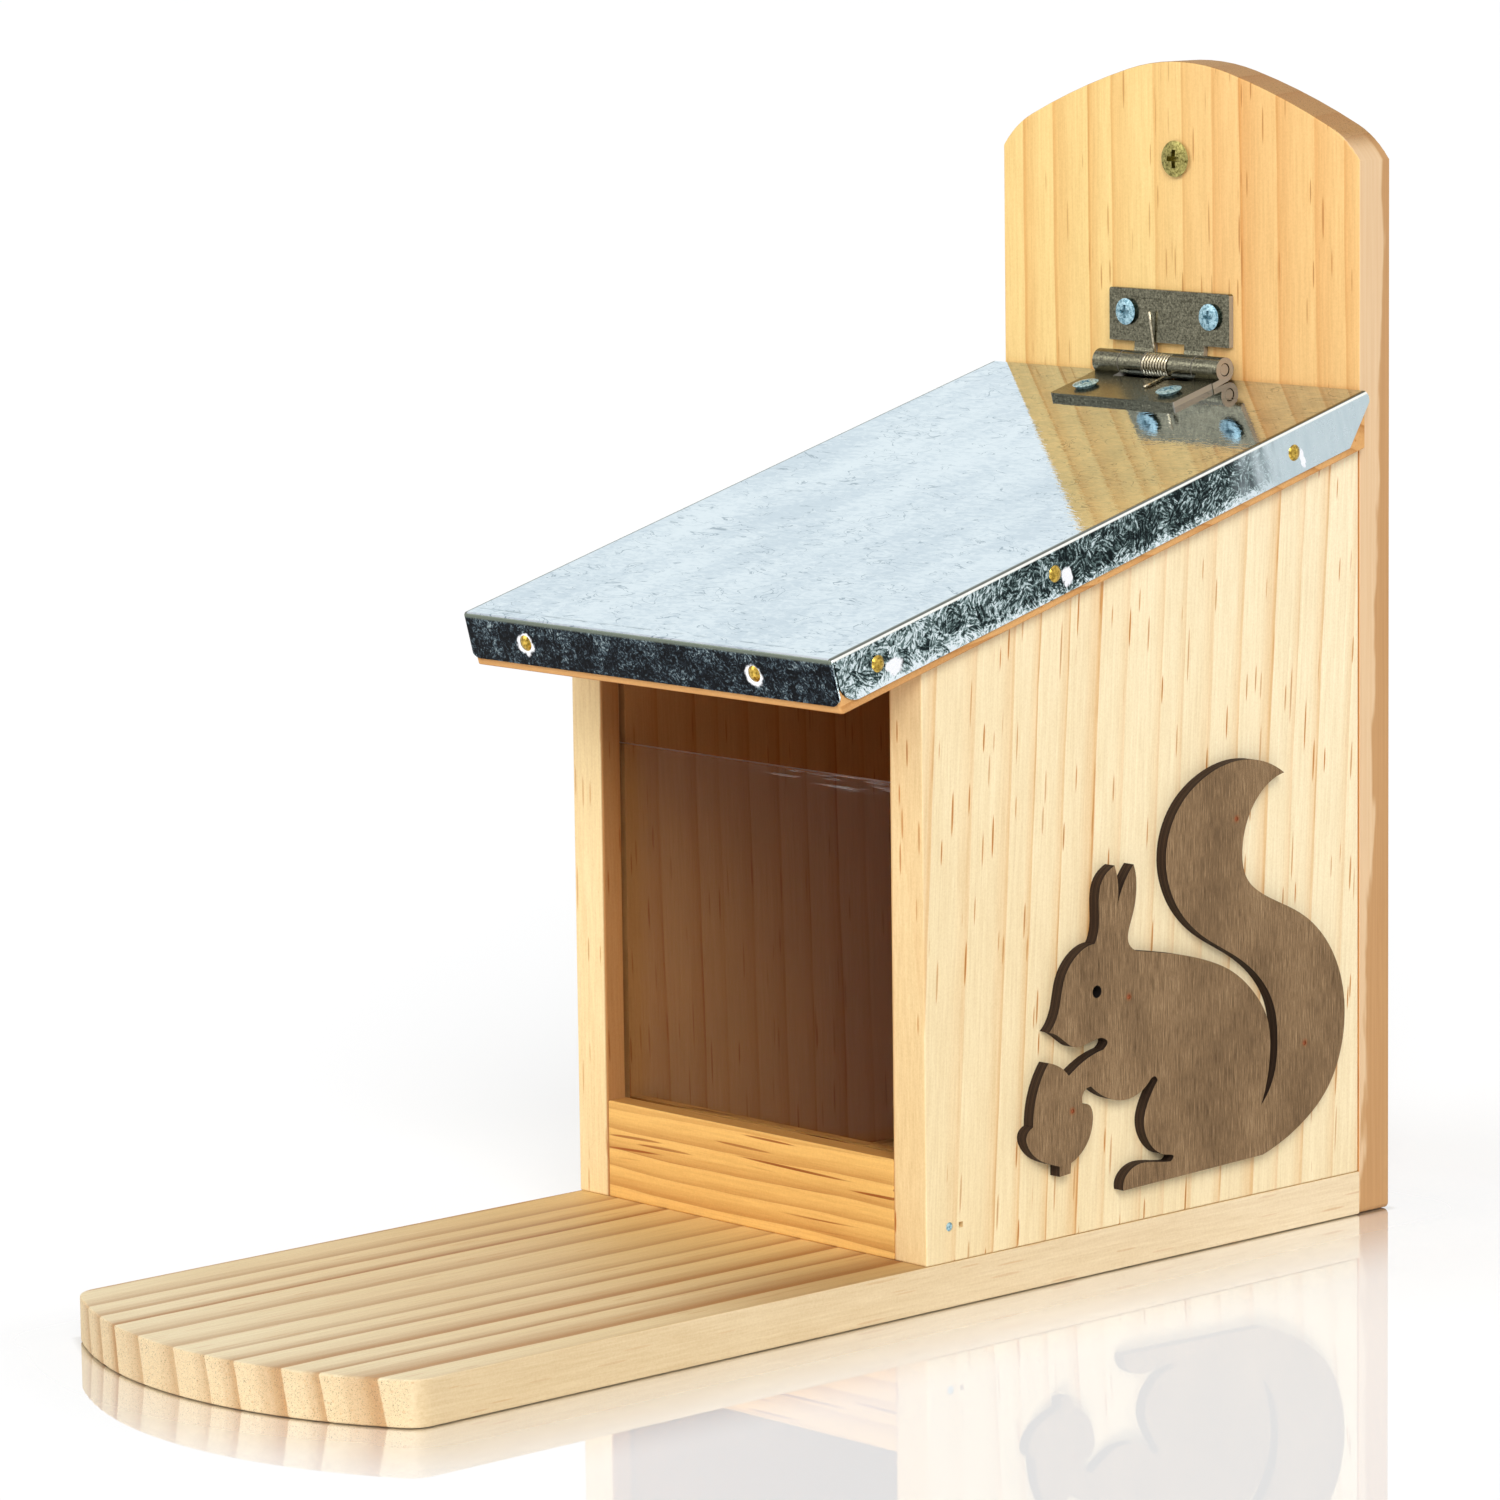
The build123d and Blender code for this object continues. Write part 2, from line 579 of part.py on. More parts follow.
# Galvanised sheet, folded down over the board's front and sides
sheet_foot = lid_top - flange_depth
flange_back = along_at_back(lid_top) + side_flange_bulge
with BuildPart() as roof_sheet:
    with BuildSketch(lid_side_plane):
        with BuildLine():
            Polyline(
                (-lid_overhang, sheet_foot),
                (flange_back - side_flange_slant, sheet_foot),
                (flange_back, lid_top - side_flange_bulge_drop),
                (flange_back, lid_top - side_flange_bulge_drop / 2),
                (along_at_back(lid_top), lid_top),
                (-lid_overhang, lid_top),
                close=True,
            )
        make_face()
    extrude(amount=lid_half_width, both=True)
    normal_axis = Axis(lid_point(0, 0, 0), slope_normal)
    top_edges = roof_sheet.faces().sort_by(normal_axis)[-1].edges()
    side_folds = top_edges.filter_by(Axis(lid_point(0, 0, 0), slope))
    front_fold = top_edges.filter_by(Axis.X).sort_by(Axis.Y)[:1]
    corners = roof_sheet.edges().filter_by(normal_axis).group_by(Axis.Y)[0]
    fillet(side_folds + front_fold + corners, radius=fold_radius)
    with BuildSketch(lid_side_plane):
        with BuildLine():
            Polyline(
                (-lid_overhang + sheet, sheet_foot - overrun),
                (along_at_back(lid_top) + overrun, sheet_foot - overrun),
                (along_at_back(lid_top) + overrun, board_top),
                (-lid_overhang + sheet, board_top),
                close=True,
            )
        make_face()
    extrude(amount=board_half_width, both=True, mode=Mode.SUBTRACT)
    side_flange_front = -lid_overhang + sheet + corner_relief
    slot_middle = side_flange_front - corner_relief / 2
    slot_height = flange_depth - corner_bridge
    for side in (-1, 1):
        with BuildSketch(lid_side_plane.offset(side * lid_half_width)):
            with Locations((slot_middle, sheet_foot + slot_height / 2)):
                Rectangle(corner_relief, slot_height)
            with Locations((slot_middle + side_flange_corner / 2, sheet_foot + side_flange_corner / 2)):
                Rectangle(side_flange_corner + corner_relief, side_flange_corner)
            with Locations((side_flange_front + side_flange_corner, sheet_foot + side_flange_corner)):
                Circle(side_flange_corner, mode=Mode.SUBTRACT)
        extrude(amount=sheet + fold_radius / 2, both=True, mode=Mode.SUBTRACT)
    lid_front_plane = Plane(origin=lid_point(0, -lid_overhang, 0), x_dir=(1, 0, 0), z_dir=slope_down)
    for side in (-1, 1):
        corner_x = side * (lid_half_width - front_flange_corner / 2)
        with BuildSketch(lid_front_plane):
            with Locations((corner_x, sheet_foot + front_flange_corner / 2)):
                Rectangle(front_flange_corner, front_flange_corner)
            with Locations((corner_x - side * front_flange_corner / 2, sheet_foot + front_flange_corner)):
                Circle(front_flange_corner, mode=Mode.SUBTRACT)
        extrude(amount=-(sheet + corner_relief / 2), mode=Mode.SUBTRACT)
    pilot_holes(all_lid_nail_planes, lid_nail_shank_radius + nail_hole_play, 2 * sheet)
    pilot_holes(lid_screw_planes, *hinge_pilot)

# Nails through the sheet's flanges into the lid board
lid_nail = round_nail(lid_nail_head_radius, lid_nail_head_height, lid_nail_shank_radius, lid_nail_length)
with BuildPart() as roof_nails_front:
    with Locations(*front_nail_planes):
        add(lid_nail)
with BuildPart() as roof_nails_right:
    with Locations(*right_nail_planes):
        add(lid_nail)
with BuildPart() as roof_nails_left:
    with Locations(*left_nail_planes):
        add(lid_nail)

# Hinge leaves. In each leaf's own plane, the first coordinate runs from the pin's axis along the leaf,
# and the second stands up from the axis, away from the face that the leaf is screwed to.
lid_leaf_plane = Plane(origin=(hinge_shift, pin_y, pin_z), x_dir=slope_down, z_dir=(-1, 0, 0))
wall_leaf_plane = Plane(origin=(hinge_shift, pin_y, pin_z), x_dir=(0, 0, 1), z_dir=(1, 0, 0))
lid_knuckle_middle = barrel_length / 2 - lid_knuckle_length / 2
wall_knuckle_middle = barrel_length / 2 - lid_knuckle_length - knuckle_gap - wall_knuckle_length / 2


def hinge_leaf(
    plane,
    leaf_width,
    axis_height,
    start,
    reach,
    knuckle_middle,
    knuckle_length,
    shoulder,
    screw_place,
):
    """One leaf: a plate, two tabs, the knuckles rolled from them, and two countersunk holes."""
    leaf_top = hinge_sheet - axis_height
    with BuildPart() as hinge:
        with BuildSketch(plane):
            with Locations(((start + reach) / 2, leaf_top - hinge_sheet / 2)):
                Rectangle(reach - start, hinge_sheet)
        extrude(amount=leaf_width / 2, both=True)
        along_leaf = Axis(plane.origin, plane.x_dir)
        far_corners = hinge.edges().filter_by(Axis((0, 0, 0), plane.y_dir)).group_by(along_leaf)[-1]
        fillet(far_corners, radius=leaf_corner_radius)
        for side in (-1, 1):
            with BuildSketch(plane.offset(side * knuckle_middle)):
                Circle(knuckle_radius)
            extrude(amount=knuckle_length / 2, both=True)
            with BuildSketch(plane.offset(side * knuckle_middle)):
                with BuildLine():
                    Polyline(
                        (start, -axis_height),
                        (start - hinge_sheet, -axis_height),
                        (0, -knuckle_radius),
                        (0, -pin_radius),
                        (start - hinge_sheet, leaf_top),
                        (start, leaf_top),
                        close=True,
                    )
                make_face()
            extrude(amount=knuckle_length / 2 - shoulder, both=True)
        with BuildSketch(plane):
            Circle(pin_radius + pin_play)
        extrude(amount=barrel_length, both=True, mode=Mode.SUBTRACT)
        screw_places = [
            plane.from_local_coords(Vector(screw_place, leaf_top, side * hinge_screw_spacing / 2))
            for side in (-1, 1)
        ]
        with Locations(*[Plane(origin=place, x_dir=(1, 0, 0), z_dir=plane.y_dir) for place in screw_places]):
            CounterSinkHole(
                radius=hinge_screw_radius + screw_hole_play,
                counter_sink_radius=hinge_screw_head_radius - hinge_screw_lift + screw_hole_play,
                depth=hinge_sheet + overrun,
                counter_sink_angle=90,
            )
    return hinge.part


with BuildPart() as hinge_wall_leaf:
    add(
        hinge_leaf(
            wall_leaf_plane,
            wall_leaf_width,
            wall_axis_height,
            wall_leaf_start,
            wall_leaf_reach,
            wall_knuckle_middle,
            wall_knuckle_length,
            wall_tab_shoulder,
            wall_screw_place,
        )
    )

with BuildPart() as hinge_roof_leaf:
    add(
        hinge_leaf(
            lid_leaf_plane,
            lid_leaf_width,
            lid_axis_height,
            lid_leaf_start,
            lid_leaf_reach,
            lid_knuckle_middle,
            lid_knuckle_length,
            0,
            lid_screw_place,
        )
    )

# Hinge pin
with BuildPart() as hinge_pin:
    with BuildSketch(wall_leaf_plane):
        Circle(pin_radius)
    extrude(amount=barrel_length / 2 - pin_recess, both=True)
    chamfer(hinge_pin.edges(), length=pin_recess)

# Hinge spring: a wire that winds round the pin, with a leg on each leaf.
# It is drawn as quarter-turn biarcs through points of a helix.
spring_room = wall_knuckle_middle - wall_knuckle_length / 2 - spring_end_play - wire / 2
spring_start = radians(-wall_leg_lean)
spring_angle = 2 * pi * spring_whole_turns + radians(90 - pitch + lid_leg_rise) - spring_start
quarters = round(spring_angle / (pi / 2))


def spring_point(turned):
    """The wire's middle after it has turned by an angle, from the back of the pin, down and forward."""
    x = hinge_shift + spring_room * (2 * turned / spring_angle - 1)
    angle = spring_start + turned
    return Vector(x, pin_y + spring_radius * cos(angle), pin_z - spring_radius * sin(angle))


def spring_direction(turned):
    """The way that the wire runs there."""
    climb = 2 * spring_room / spring_angle
    angle = spring_start + turned
    return Vector(climb, -spring_radius * sin(angle), -spring_radius * cos(angle)).normalized()


def biarc_joint(start, start_way, end, end_way):
    """Where two arcs meet that leave the start and reach the end in these directions, and the way there."""
    chord = end - start
    both = start_way + end_way
    spread = 2 * (1 - start_way.dot(end_way))
    reach = (sqrt(chord.dot(both) ** 2 + spread * chord.dot(chord)) - chord.dot(both)) / spread
    near = start + start_way * reach
    far = end - end_way * reach
    return (near + far) * 0.5, (far - near).normalized()


with BuildPart() as hinge_spring:
    with BuildLine() as spring_path:
        first = spring_point(0)
        Line(first - spring_direction(0) * wall_leg, first)
        for step in range(quarters):
            turned = spring_angle * step / quarters
            turned_next = spring_angle * (step + 1) / quarters
            here, there = spring_point(turned), spring_point(turned_next)
            way, way_next = spring_direction(turned), spring_direction(turned_next)
            joint, joint_way = biarc_joint(here, way, there, way_next)
            TangentArc(here, joint, tangent=way)
            TangentArc(joint, there, tangent=joint_way)
        last_way = spring_direction(spring_angle)
        climb_end = spring_point(spring_angle) + last_way * lid_leg_climb
        Line(spring_point(spring_angle), climb_end)
        leg_way = Vector(*slope_down)
        bend_end = climb_end + (last_way + leg_way) * lid_leg_bend * tan(radians(lid_leg_rise / 2))
        TangentArc(climb_end, bend_end, tangent=last_way)
        Line(bend_end, bend_end + leg_way * lid_leg)
    with BuildSketch(Plane(origin=spring_path.line @ 0, z_dir=spring_path.line % 0)):
        Circle(wire / 2)
    sweep(path=spring_path.line)


def least_gap(points, thickness):
    """The least clear distance between stretches of a wire that are half a turn or more apart."""
    apart = pi * spring_radius
    step = (points[1] - points[0]).length
    skip = int(apart / step)
    gaps = [
        (points[i] - points[j]).length - thickness
        for i in range(len(points))
        for j in range(i + skip, len(points))
    ]
    return min(gaps)


samples = 24 * spring_whole_turns
spring_points = [spring_point(spring_angle * i / samples) for i in range(samples + 1)]
print("hinge spring: least gap between turns", round(least_gap(spring_points, wire), 3), "mm")

# Hinge screws
hinge_screw = countersunk_screw(
    hinge_screw_head_radius, hinge_screw_lift, hinge_screw_dome, hinge_screw_radius, hinge_screw_length
)
with BuildPart() as hinge_wall_screws:
    with Locations(*wall_screw_planes):
        add(hinge_screw)
with BuildPart() as hinge_roof_screws:
    with Locations(*lid_screw_planes):
        add(hinge_screw)

# Hanging screw, through the back board and out behind it
with BuildPart() as hanging_screw:
    with Locations(hanging_plane):
        add(
            countersunk_screw(
                hanging_head_radius,
                hanging_head_lift,
                hanging_head_dome,
                hanging_thread_radius,
                hanging_screw_length,
                neck=(hanging_neck_radius, board + hanging_thread_start),
            )
        )

# Hidden screws, from under the shelf board and from behind the back board
wood_screw = countersunk_screw(
    wood_screw_head_radius, -wood_screw_sink, 0, wood_screw_radius, wood_screw_length
)
with BuildPart() as base_screws:
    with Locations(*base_screw_planes):
        add(wood_screw)
with BuildPart() as panel_back_screws:
    with Locations(*panel_screw_planes):
        add(wood_screw)
with BuildPart() as shelf_back_screws:
    with Locations(*shelf_screw_planes):
        add(wood_screw)

# Nails through the side panels into the front rail
with BuildPart() as rail_nails:
    with Locations(*rail_nail_planes):
        add(flush_nail(rail_nail_head_radius, rail_nail_radius, rail_nail_length))

# Squirrel figure, cut from thin plywood, with its acorn in one piece
figure_stretches = (
    tail_outer_shares,
    (tail_outer_shares[-1], foot_shares[0]),
    foot_shares,
    foot_notch_shares,
    leg_shares,
    leg_slot_shares,
    chest_shares,
    wrist_shares,
    acorn_back_shares,
    stem_shares[0:2],
    stem_shares[1:3],
    stem_shares[2:4],
    acorn_cap_shares,
    acorn_front_shares,
    acorn_tip_shares,
    arm_shares,
    mouth_shares,
    chin_shares,
    head_shares,
    ear_front_shares,
    ear_split_front_shares,
    ear_split_back_shares,
    ear_back_shares,
    back_shares,
    tail_inner_shares,
)
with BuildPart() as squirrel_figure:
    with BuildSketch(Plane.YZ.offset(width / 2)):
        with BuildLine():
            for stretch in figure_stretches:
                places = [figure_place(share) for share in stretch]
                if len(places) == 2:
                    Line(*places)
                else:
                    Spline(*places)
        make_face()
        with Locations(figure_place(eye_shares)):
            Circle(eye_radius, mode=Mode.SUBTRACT)
    extrude(amount=figure_thickness)
    nail_holes(brad_planes, brad_radius, brad_radius, brad_length)

with BuildPart() as figure_brads:
    with Locations(*brad_planes):
        add(flush_nail(brad_radius, brad_radius, brad_length))

# Names and files
pieces = {
    "base_board": base_board,
    "back_board": back_board,
    "left_panel": left_panel,
    "right_panel": right_panel,
    "front_rail": front_rail,
    "window_pane": window_pane,
    "roof_board": roof_board,
    "roof_sheet": roof_sheet,
    "roof_nails_front": roof_nails_front,
    "roof_nails_right": roof_nails_right,
    "roof_nails_left": roof_nails_left,
    "hinge_wall_leaf": hinge_wall_leaf,
    "hinge_roof_leaf": hinge_roof_leaf,
    "hinge_pin": hinge_pin,
    "hinge_spring": hinge_spring,
    "hinge_wall_screws": hinge_wall_screws,
    "hinge_roof_screws": hinge_roof_screws,
    "hanging_screw": hanging_screw,
    "base_screws": base_screws,
    "panel_back_screws": panel_back_screws,
    "shelf_back_screws": shelf_back_screws,
    "rail_nails": rail_nails,
    "squirrel_figure": squirrel_figure,
    "figure_brads": figure_brads,
}
for name, piece in pieces.items():
    piece.part.label = name
    export_step(piece.part, f"parts/{name}.step")
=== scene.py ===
import json
import math

import bmesh
import bpy
from mathutils import Matrix, Vector


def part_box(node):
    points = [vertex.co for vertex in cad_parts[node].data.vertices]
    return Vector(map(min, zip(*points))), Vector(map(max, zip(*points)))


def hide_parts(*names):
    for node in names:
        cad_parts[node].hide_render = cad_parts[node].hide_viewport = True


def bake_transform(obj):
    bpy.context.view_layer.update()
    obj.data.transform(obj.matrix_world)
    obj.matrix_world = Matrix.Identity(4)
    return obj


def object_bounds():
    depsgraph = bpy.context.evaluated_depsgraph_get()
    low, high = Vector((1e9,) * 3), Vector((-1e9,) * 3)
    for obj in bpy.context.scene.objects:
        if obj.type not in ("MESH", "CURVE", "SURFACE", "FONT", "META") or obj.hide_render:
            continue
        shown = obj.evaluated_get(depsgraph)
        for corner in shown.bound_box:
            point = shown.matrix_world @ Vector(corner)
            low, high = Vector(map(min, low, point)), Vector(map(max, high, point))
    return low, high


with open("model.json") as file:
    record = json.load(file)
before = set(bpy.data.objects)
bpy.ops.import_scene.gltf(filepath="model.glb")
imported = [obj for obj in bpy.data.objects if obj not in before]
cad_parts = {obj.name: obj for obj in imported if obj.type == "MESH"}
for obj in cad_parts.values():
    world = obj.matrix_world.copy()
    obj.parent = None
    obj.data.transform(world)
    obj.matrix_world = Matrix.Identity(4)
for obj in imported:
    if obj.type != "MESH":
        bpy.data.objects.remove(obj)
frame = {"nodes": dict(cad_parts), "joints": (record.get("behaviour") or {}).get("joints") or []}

# Squirrel feeder: the finish of every surface, the wound spring, the stage and the lights.
# All lengths are metres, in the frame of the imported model, unless a name or a comment says mm.

MM = 0.001
cad_low, cad_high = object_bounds()
nodes = frame["nodes"]

# Camera. Its place and direction were fitted to the straight edges of the boards in the photograph.
PHOTO_SIDE = 1500  # pixels
FOCAL_PIXELS = 6671.65
SENSOR_WIDTH = 36.0  # mm
CAMERA_PLACE = (1.271827, -1.173709, 0.394401)
CAMERA_AZIMUTH = 47.5188  # degrees, from straight in front of the feeder towards its right side
CAMERA_ELEVATION = 8.4218
CAMERA_ROLL = -0.7436
CLIP_START = 0.05
CLIP_END = 200.0


def make_camera():
    """The camera at the photograph's viewing angle."""
    azimuth, elevation, roll = (
        math.radians(angle) for angle in (CAMERA_AZIMUTH, CAMERA_ELEVATION, CAMERA_ROLL)
    )
    back = Vector(
        (
            math.sin(azimuth) * math.cos(elevation),
            -math.cos(azimuth) * math.cos(elevation),
            math.sin(elevation),
        )
    )
    level_right = (-back).cross(Vector((0, 0, 1))).normalized()
    level_up = level_right.cross(-back)
    right = level_right * math.cos(roll) + level_up * math.sin(roll)
    up = level_up * math.cos(roll) - level_right * math.sin(roll)
    data = bpy.data.cameras.new("camera")
    data.sensor_width = SENSOR_WIDTH
    data.lens = FOCAL_PIXELS * SENSOR_WIDTH / PHOTO_SIDE
    data.clip_start = CLIP_START
    data.clip_end = CLIP_END
    camera = bpy.data.objects.new("camera", data)
    bpy.context.scene.collection.objects.link(camera)
    turn = Matrix((right, up, back)).transposed().to_4x4()
    camera.matrix_world = Matrix.Translation(CAMERA_PLACE) @ turn
    bpy.context.scene.camera = camera


make_camera()
bpy.context.scene.view_settings.view_transform = "Standard"


def linear(red, green, blue):
    """A colour of 0 to 255 a channel, as the eye sees it, in the linear values that shaders use.

    A tint may go a little past 255, which makes the colour under it paler.
    """

    def channel(value):
        share = value / 255
        return share / 12.92 if share <= 0.04045 else ((share + 0.055) / 1.055) ** 2.4

    return (channel(red), channel(green), channel(blue), 1.0)


class Nodes:
    """Short ways to add nodes to a node tree."""

    def __init__(self, tree, output):
        self.tree = tree
        self.tree.nodes.clear()
        self.output = self.tree.nodes.new(output)

    def put(self, socket, value):
        """Links a socket into an input, or sets the input to a plain value."""
        if isinstance(value, bpy.types.NodeSocket):
            self.tree.links.new(value, socket)
        elif value is not None:
            socket.default_value = value

    def show(self, shader):
        """Makes a shader the one that the output shows."""
        self.put(self.output.inputs["Surface"], shader.outputs[0])

    def node(self, kind, inputs=(), **settings):
        made = self.tree.nodes.new(kind)
        for key, value in settings.items():
            setattr(made, key, value)
        for key, value in dict(inputs).items():
            self.put(made.inputs[key], value)
        return made

    def math(self, operation, first, second=None, third=None, clamp=False):
        values = {0: first, 1: second, 2: third}
        inputs = {key: value for key, value in values.items() if value is not None}
        return self.node("ShaderNodeMath", inputs, operation=operation, use_clamp=clamp).outputs[0]

    def add(self, first, second, clamp=False):
        return self.math("ADD", first, second, clamp=clamp)

    def less(self, first, second):
        return self.math("SUBTRACT", first, second)

    def times(self, first, second, clamp=False):
        return self.math("MULTIPLY", first, second, clamp=clamp)

    def over(self, first, second, clamp=False):
        return self.math("DIVIDE", first, second, clamp=clamp)

    def times_add(self, value, factor, added):
        """The value times the factor, with something added to it."""
        return self.math("MULTIPLY_ADD", value, factor, added)

    def larger(self, first, second):
        return self.math("MAXIMUM", first, second)

    def absolute(self, value):
        return self.math("ABSOLUTE", value)

    def vector(self, operation, first, second=None, out=0):
        inputs = {0: first}
        if second is not None:
            inputs[1] = second
        return self.node("ShaderNodeVectorMath", inputs, operation=operation).outputs[out]

    def dot(self, first, second):
        return self.vector("DOT_PRODUCT", first, tuple(second), out="Value")

    def stretch(self, vector, factors):
        """The vector with each part times its own factor."""
        return self.vector("MULTIPLY", vector, factors)

    def scale(self, vector, factor):
        node = self.node("ShaderNodeVectorMath", {0: vector}, operation="SCALE")
        self.put(node.inputs["Scale"], factor)
        return node.outputs[0]

    def split(self, vector):
        return self.node("ShaderNodeSeparateXYZ", {0: vector}).outputs

    def join(self, x, y, z):
        return self.node("ShaderNodeCombineXYZ", {0: x, 1: y, 2: z}).outputs[0]

    def seen(self):
        """1 for what the eye sees, also in a mirror or through a clear sheet, and 0 for lighting."""
        path = self.node("ShaderNodeLightPath").outputs
        bent = self.larger(path["Is Glossy Ray"], path["Is Transmission Ray"])
        straight = self.math("LESS_THAN", path["Diffuse Depth"], 0.5)
        return self.times(self.larger(path["Is Camera Ray"], bent), straight)


class Material(Nodes):
    """One node material. Its colour is the one that its shader has so far."""

    def __init__(self, name):
        self.material = bpy.data.materials.new(name)
        self.material.use_nodes = True
        super().__init__(self.material.node_tree, "ShaderNodeOutputMaterial")
        self.shader = self.node("ShaderNodeBsdfPrincipled")
        self.show(self.shader)
        self.colour = None

    def place(self):
        """The point on the object at rest, in metres."""
        return self.node("ShaderNodeTexCoord").outputs["Object"]

    def place_mm(self):
        """The point on the object at rest, in mm."""
        return self.scale(self.place(), 1 / MM)

    def normal(self):
        """The surface's direction on the object at rest."""
        return self.node("ShaderNodeTexCoord").outputs["Normal"]

    def facing(self, axis):
        """How squarely the surface faces along an axis, from 0 to 1."""
        return self.absolute(self.split(self.normal())["XYZ".index(axis)])

    def noise(self, vector, scale=1.0, detail=2.0, roughness=0.5, distortion=0.0, out="Fac"):
        inputs = {
            "Vector": vector,
            "Scale": scale,
            "Detail": detail,
            "Roughness": roughness,
            "Distortion": distortion,
        }
        return self.node("ShaderNodeTexNoise", inputs).outputs[out]

    def wobble(self, vector, scale, detail, amount):
        """A smooth random shift of the vector."""
        shift = self.noise(vector, scale, detail=detail, out="Color")
        return self.scale(self.vector("SUBTRACT", shift, (0.5, 0.5, 0.5)), amount)

    def cells(self, vector, scale=1.0, out="Distance"):
        inputs = {"Vector": vector, "Scale": scale, "Randomness": 1.0}
        return self.node("ShaderNodeTexVoronoi", inputs, feature="F1").outputs[out]

    def ramp(self, value, stops, interpolation="LINEAR"):
        """A colour ramp. Each stop is a place from 0 to 1 and a grey value or a colour."""
        node = self.node("ShaderNodeValToRGB", {0: value})
        ramp = node.color_ramp
        ramp.interpolation = interpolation
        while len(ramp.elements) < len(stops):
            ramp.elements.new(0.5)
        for element, (position, colour) in zip(ramp.elements, stops):
            element.position = position
            element.color = colour if hasattr(colour, "__len__") else (colour, colour, colour, 1)
        return node.outputs["Color"]

    def step(self, value, low, high):
        """A smooth step from 0 at low to 1 at high."""
        node = self.node(
            "ShaderNodeMapRange",
            {"Value": value, "From Min": low, "From Max": high},
            interpolation_type="SMOOTHSTEP",
        )
        return node.outputs["Result"]

    def mix(self, share, first, second, blend="MIX"):
        node = self.node("ShaderNodeMix", data_type="RGBA", blend_type=blend)
        self.put(node.inputs[0], share)
        self.put(node.inputs[6], first)
        self.put(node.inputs[7], second)
        return node.outputs[2]

    def bump(self, height, distance, strength=1.0):
        """Surface relief, with its depth in metres."""
        inputs = {"Height": height, "Distance": distance, "Strength": strength}
        return self.node("ShaderNodeBump", inputs).outputs["Normal"]

    def set(self, **values):
        """Sets the shader's sockets by name, with _ for a space."""
        for key, value in values.items():
            self.put(self.shader.inputs[key.replace("_", " ")], value)

    def paint(self, share, colour):
        """Lays another colour over the material's own."""
        self.colour = self.mix(share, self.colour, colour)
        self.set(Base_Color=self.colour)

    def tint(self, share, colour):
        """Multiplies the material's own colour by another."""
        self.paint(share, self.mix(1.0, self.colour, colour, "MULTIPLY"))

    def near(self, places, inner, outer):
        """1 within the inner distance of any of the places, falling to 0 at the outer distance."""
        found = None
        for place in places:
            distance = self.vector("DISTANCE", self.place(), tuple(place), out="Value")
            share = self.step(distance, outer, inner)
            found = share if found is None else self.larger(found, share)
        return found


def dress(name, material):
    """Gives a CAD node its material, in every slot."""
    mesh = nodes[name].data
    if not mesh.materials:
        mesh.materials.append(material.material)
    for index in range(len(mesh.materials)):
        mesh.materials[index] = material.material


SAME_POINT = 1e-6


def pieces_of(name):
    """The low and high corner of each separate solid in a CAD node, sorted by place."""
    work = bmesh.new()
    work.from_mesh(nodes[name].data)
    bmesh.ops.remove_doubles(work, verts=work.verts, dist=SAME_POINT)
    left = set(work.verts)
    found = []
    while left:
        group, edge = set(), {left.pop()}
        while edge:
            vertex = edge.pop()
            group.add(vertex)
            for link in vertex.link_edges:
                other = link.other_vert(vertex)
                if other in left:
                    left.discard(other)
                    edge.add(other)
        low = Vector(min(v.co[i] for v in group) for i in range(3))
        high = Vector(max(v.co[i] for v in group) for i in range(3))
        found.append((low, high))
    work.free()
    return sorted(found, key=lambda pair: tuple(round(c, 5) for c in pair[0]))


# Pine
# Layers of resin ticks: length, width, reach as a share of both, shift along, and the share left out
TICK_LAYERS = (
    (44.0, 2.6, 0.17, 3.1, 0.40),
    (28.0, 2.2, 0.17, 17.7, 0.50),
    (74.0, 3.0, 0.13, 41.9, 0.40),
    (36.0, 2.4, 0.17, 63.3, 0.50),
)
DARKEST_TICK = 0.93  # of the ticks' colour, in their cores
WOOD_RELIEF = 0.14 * MM


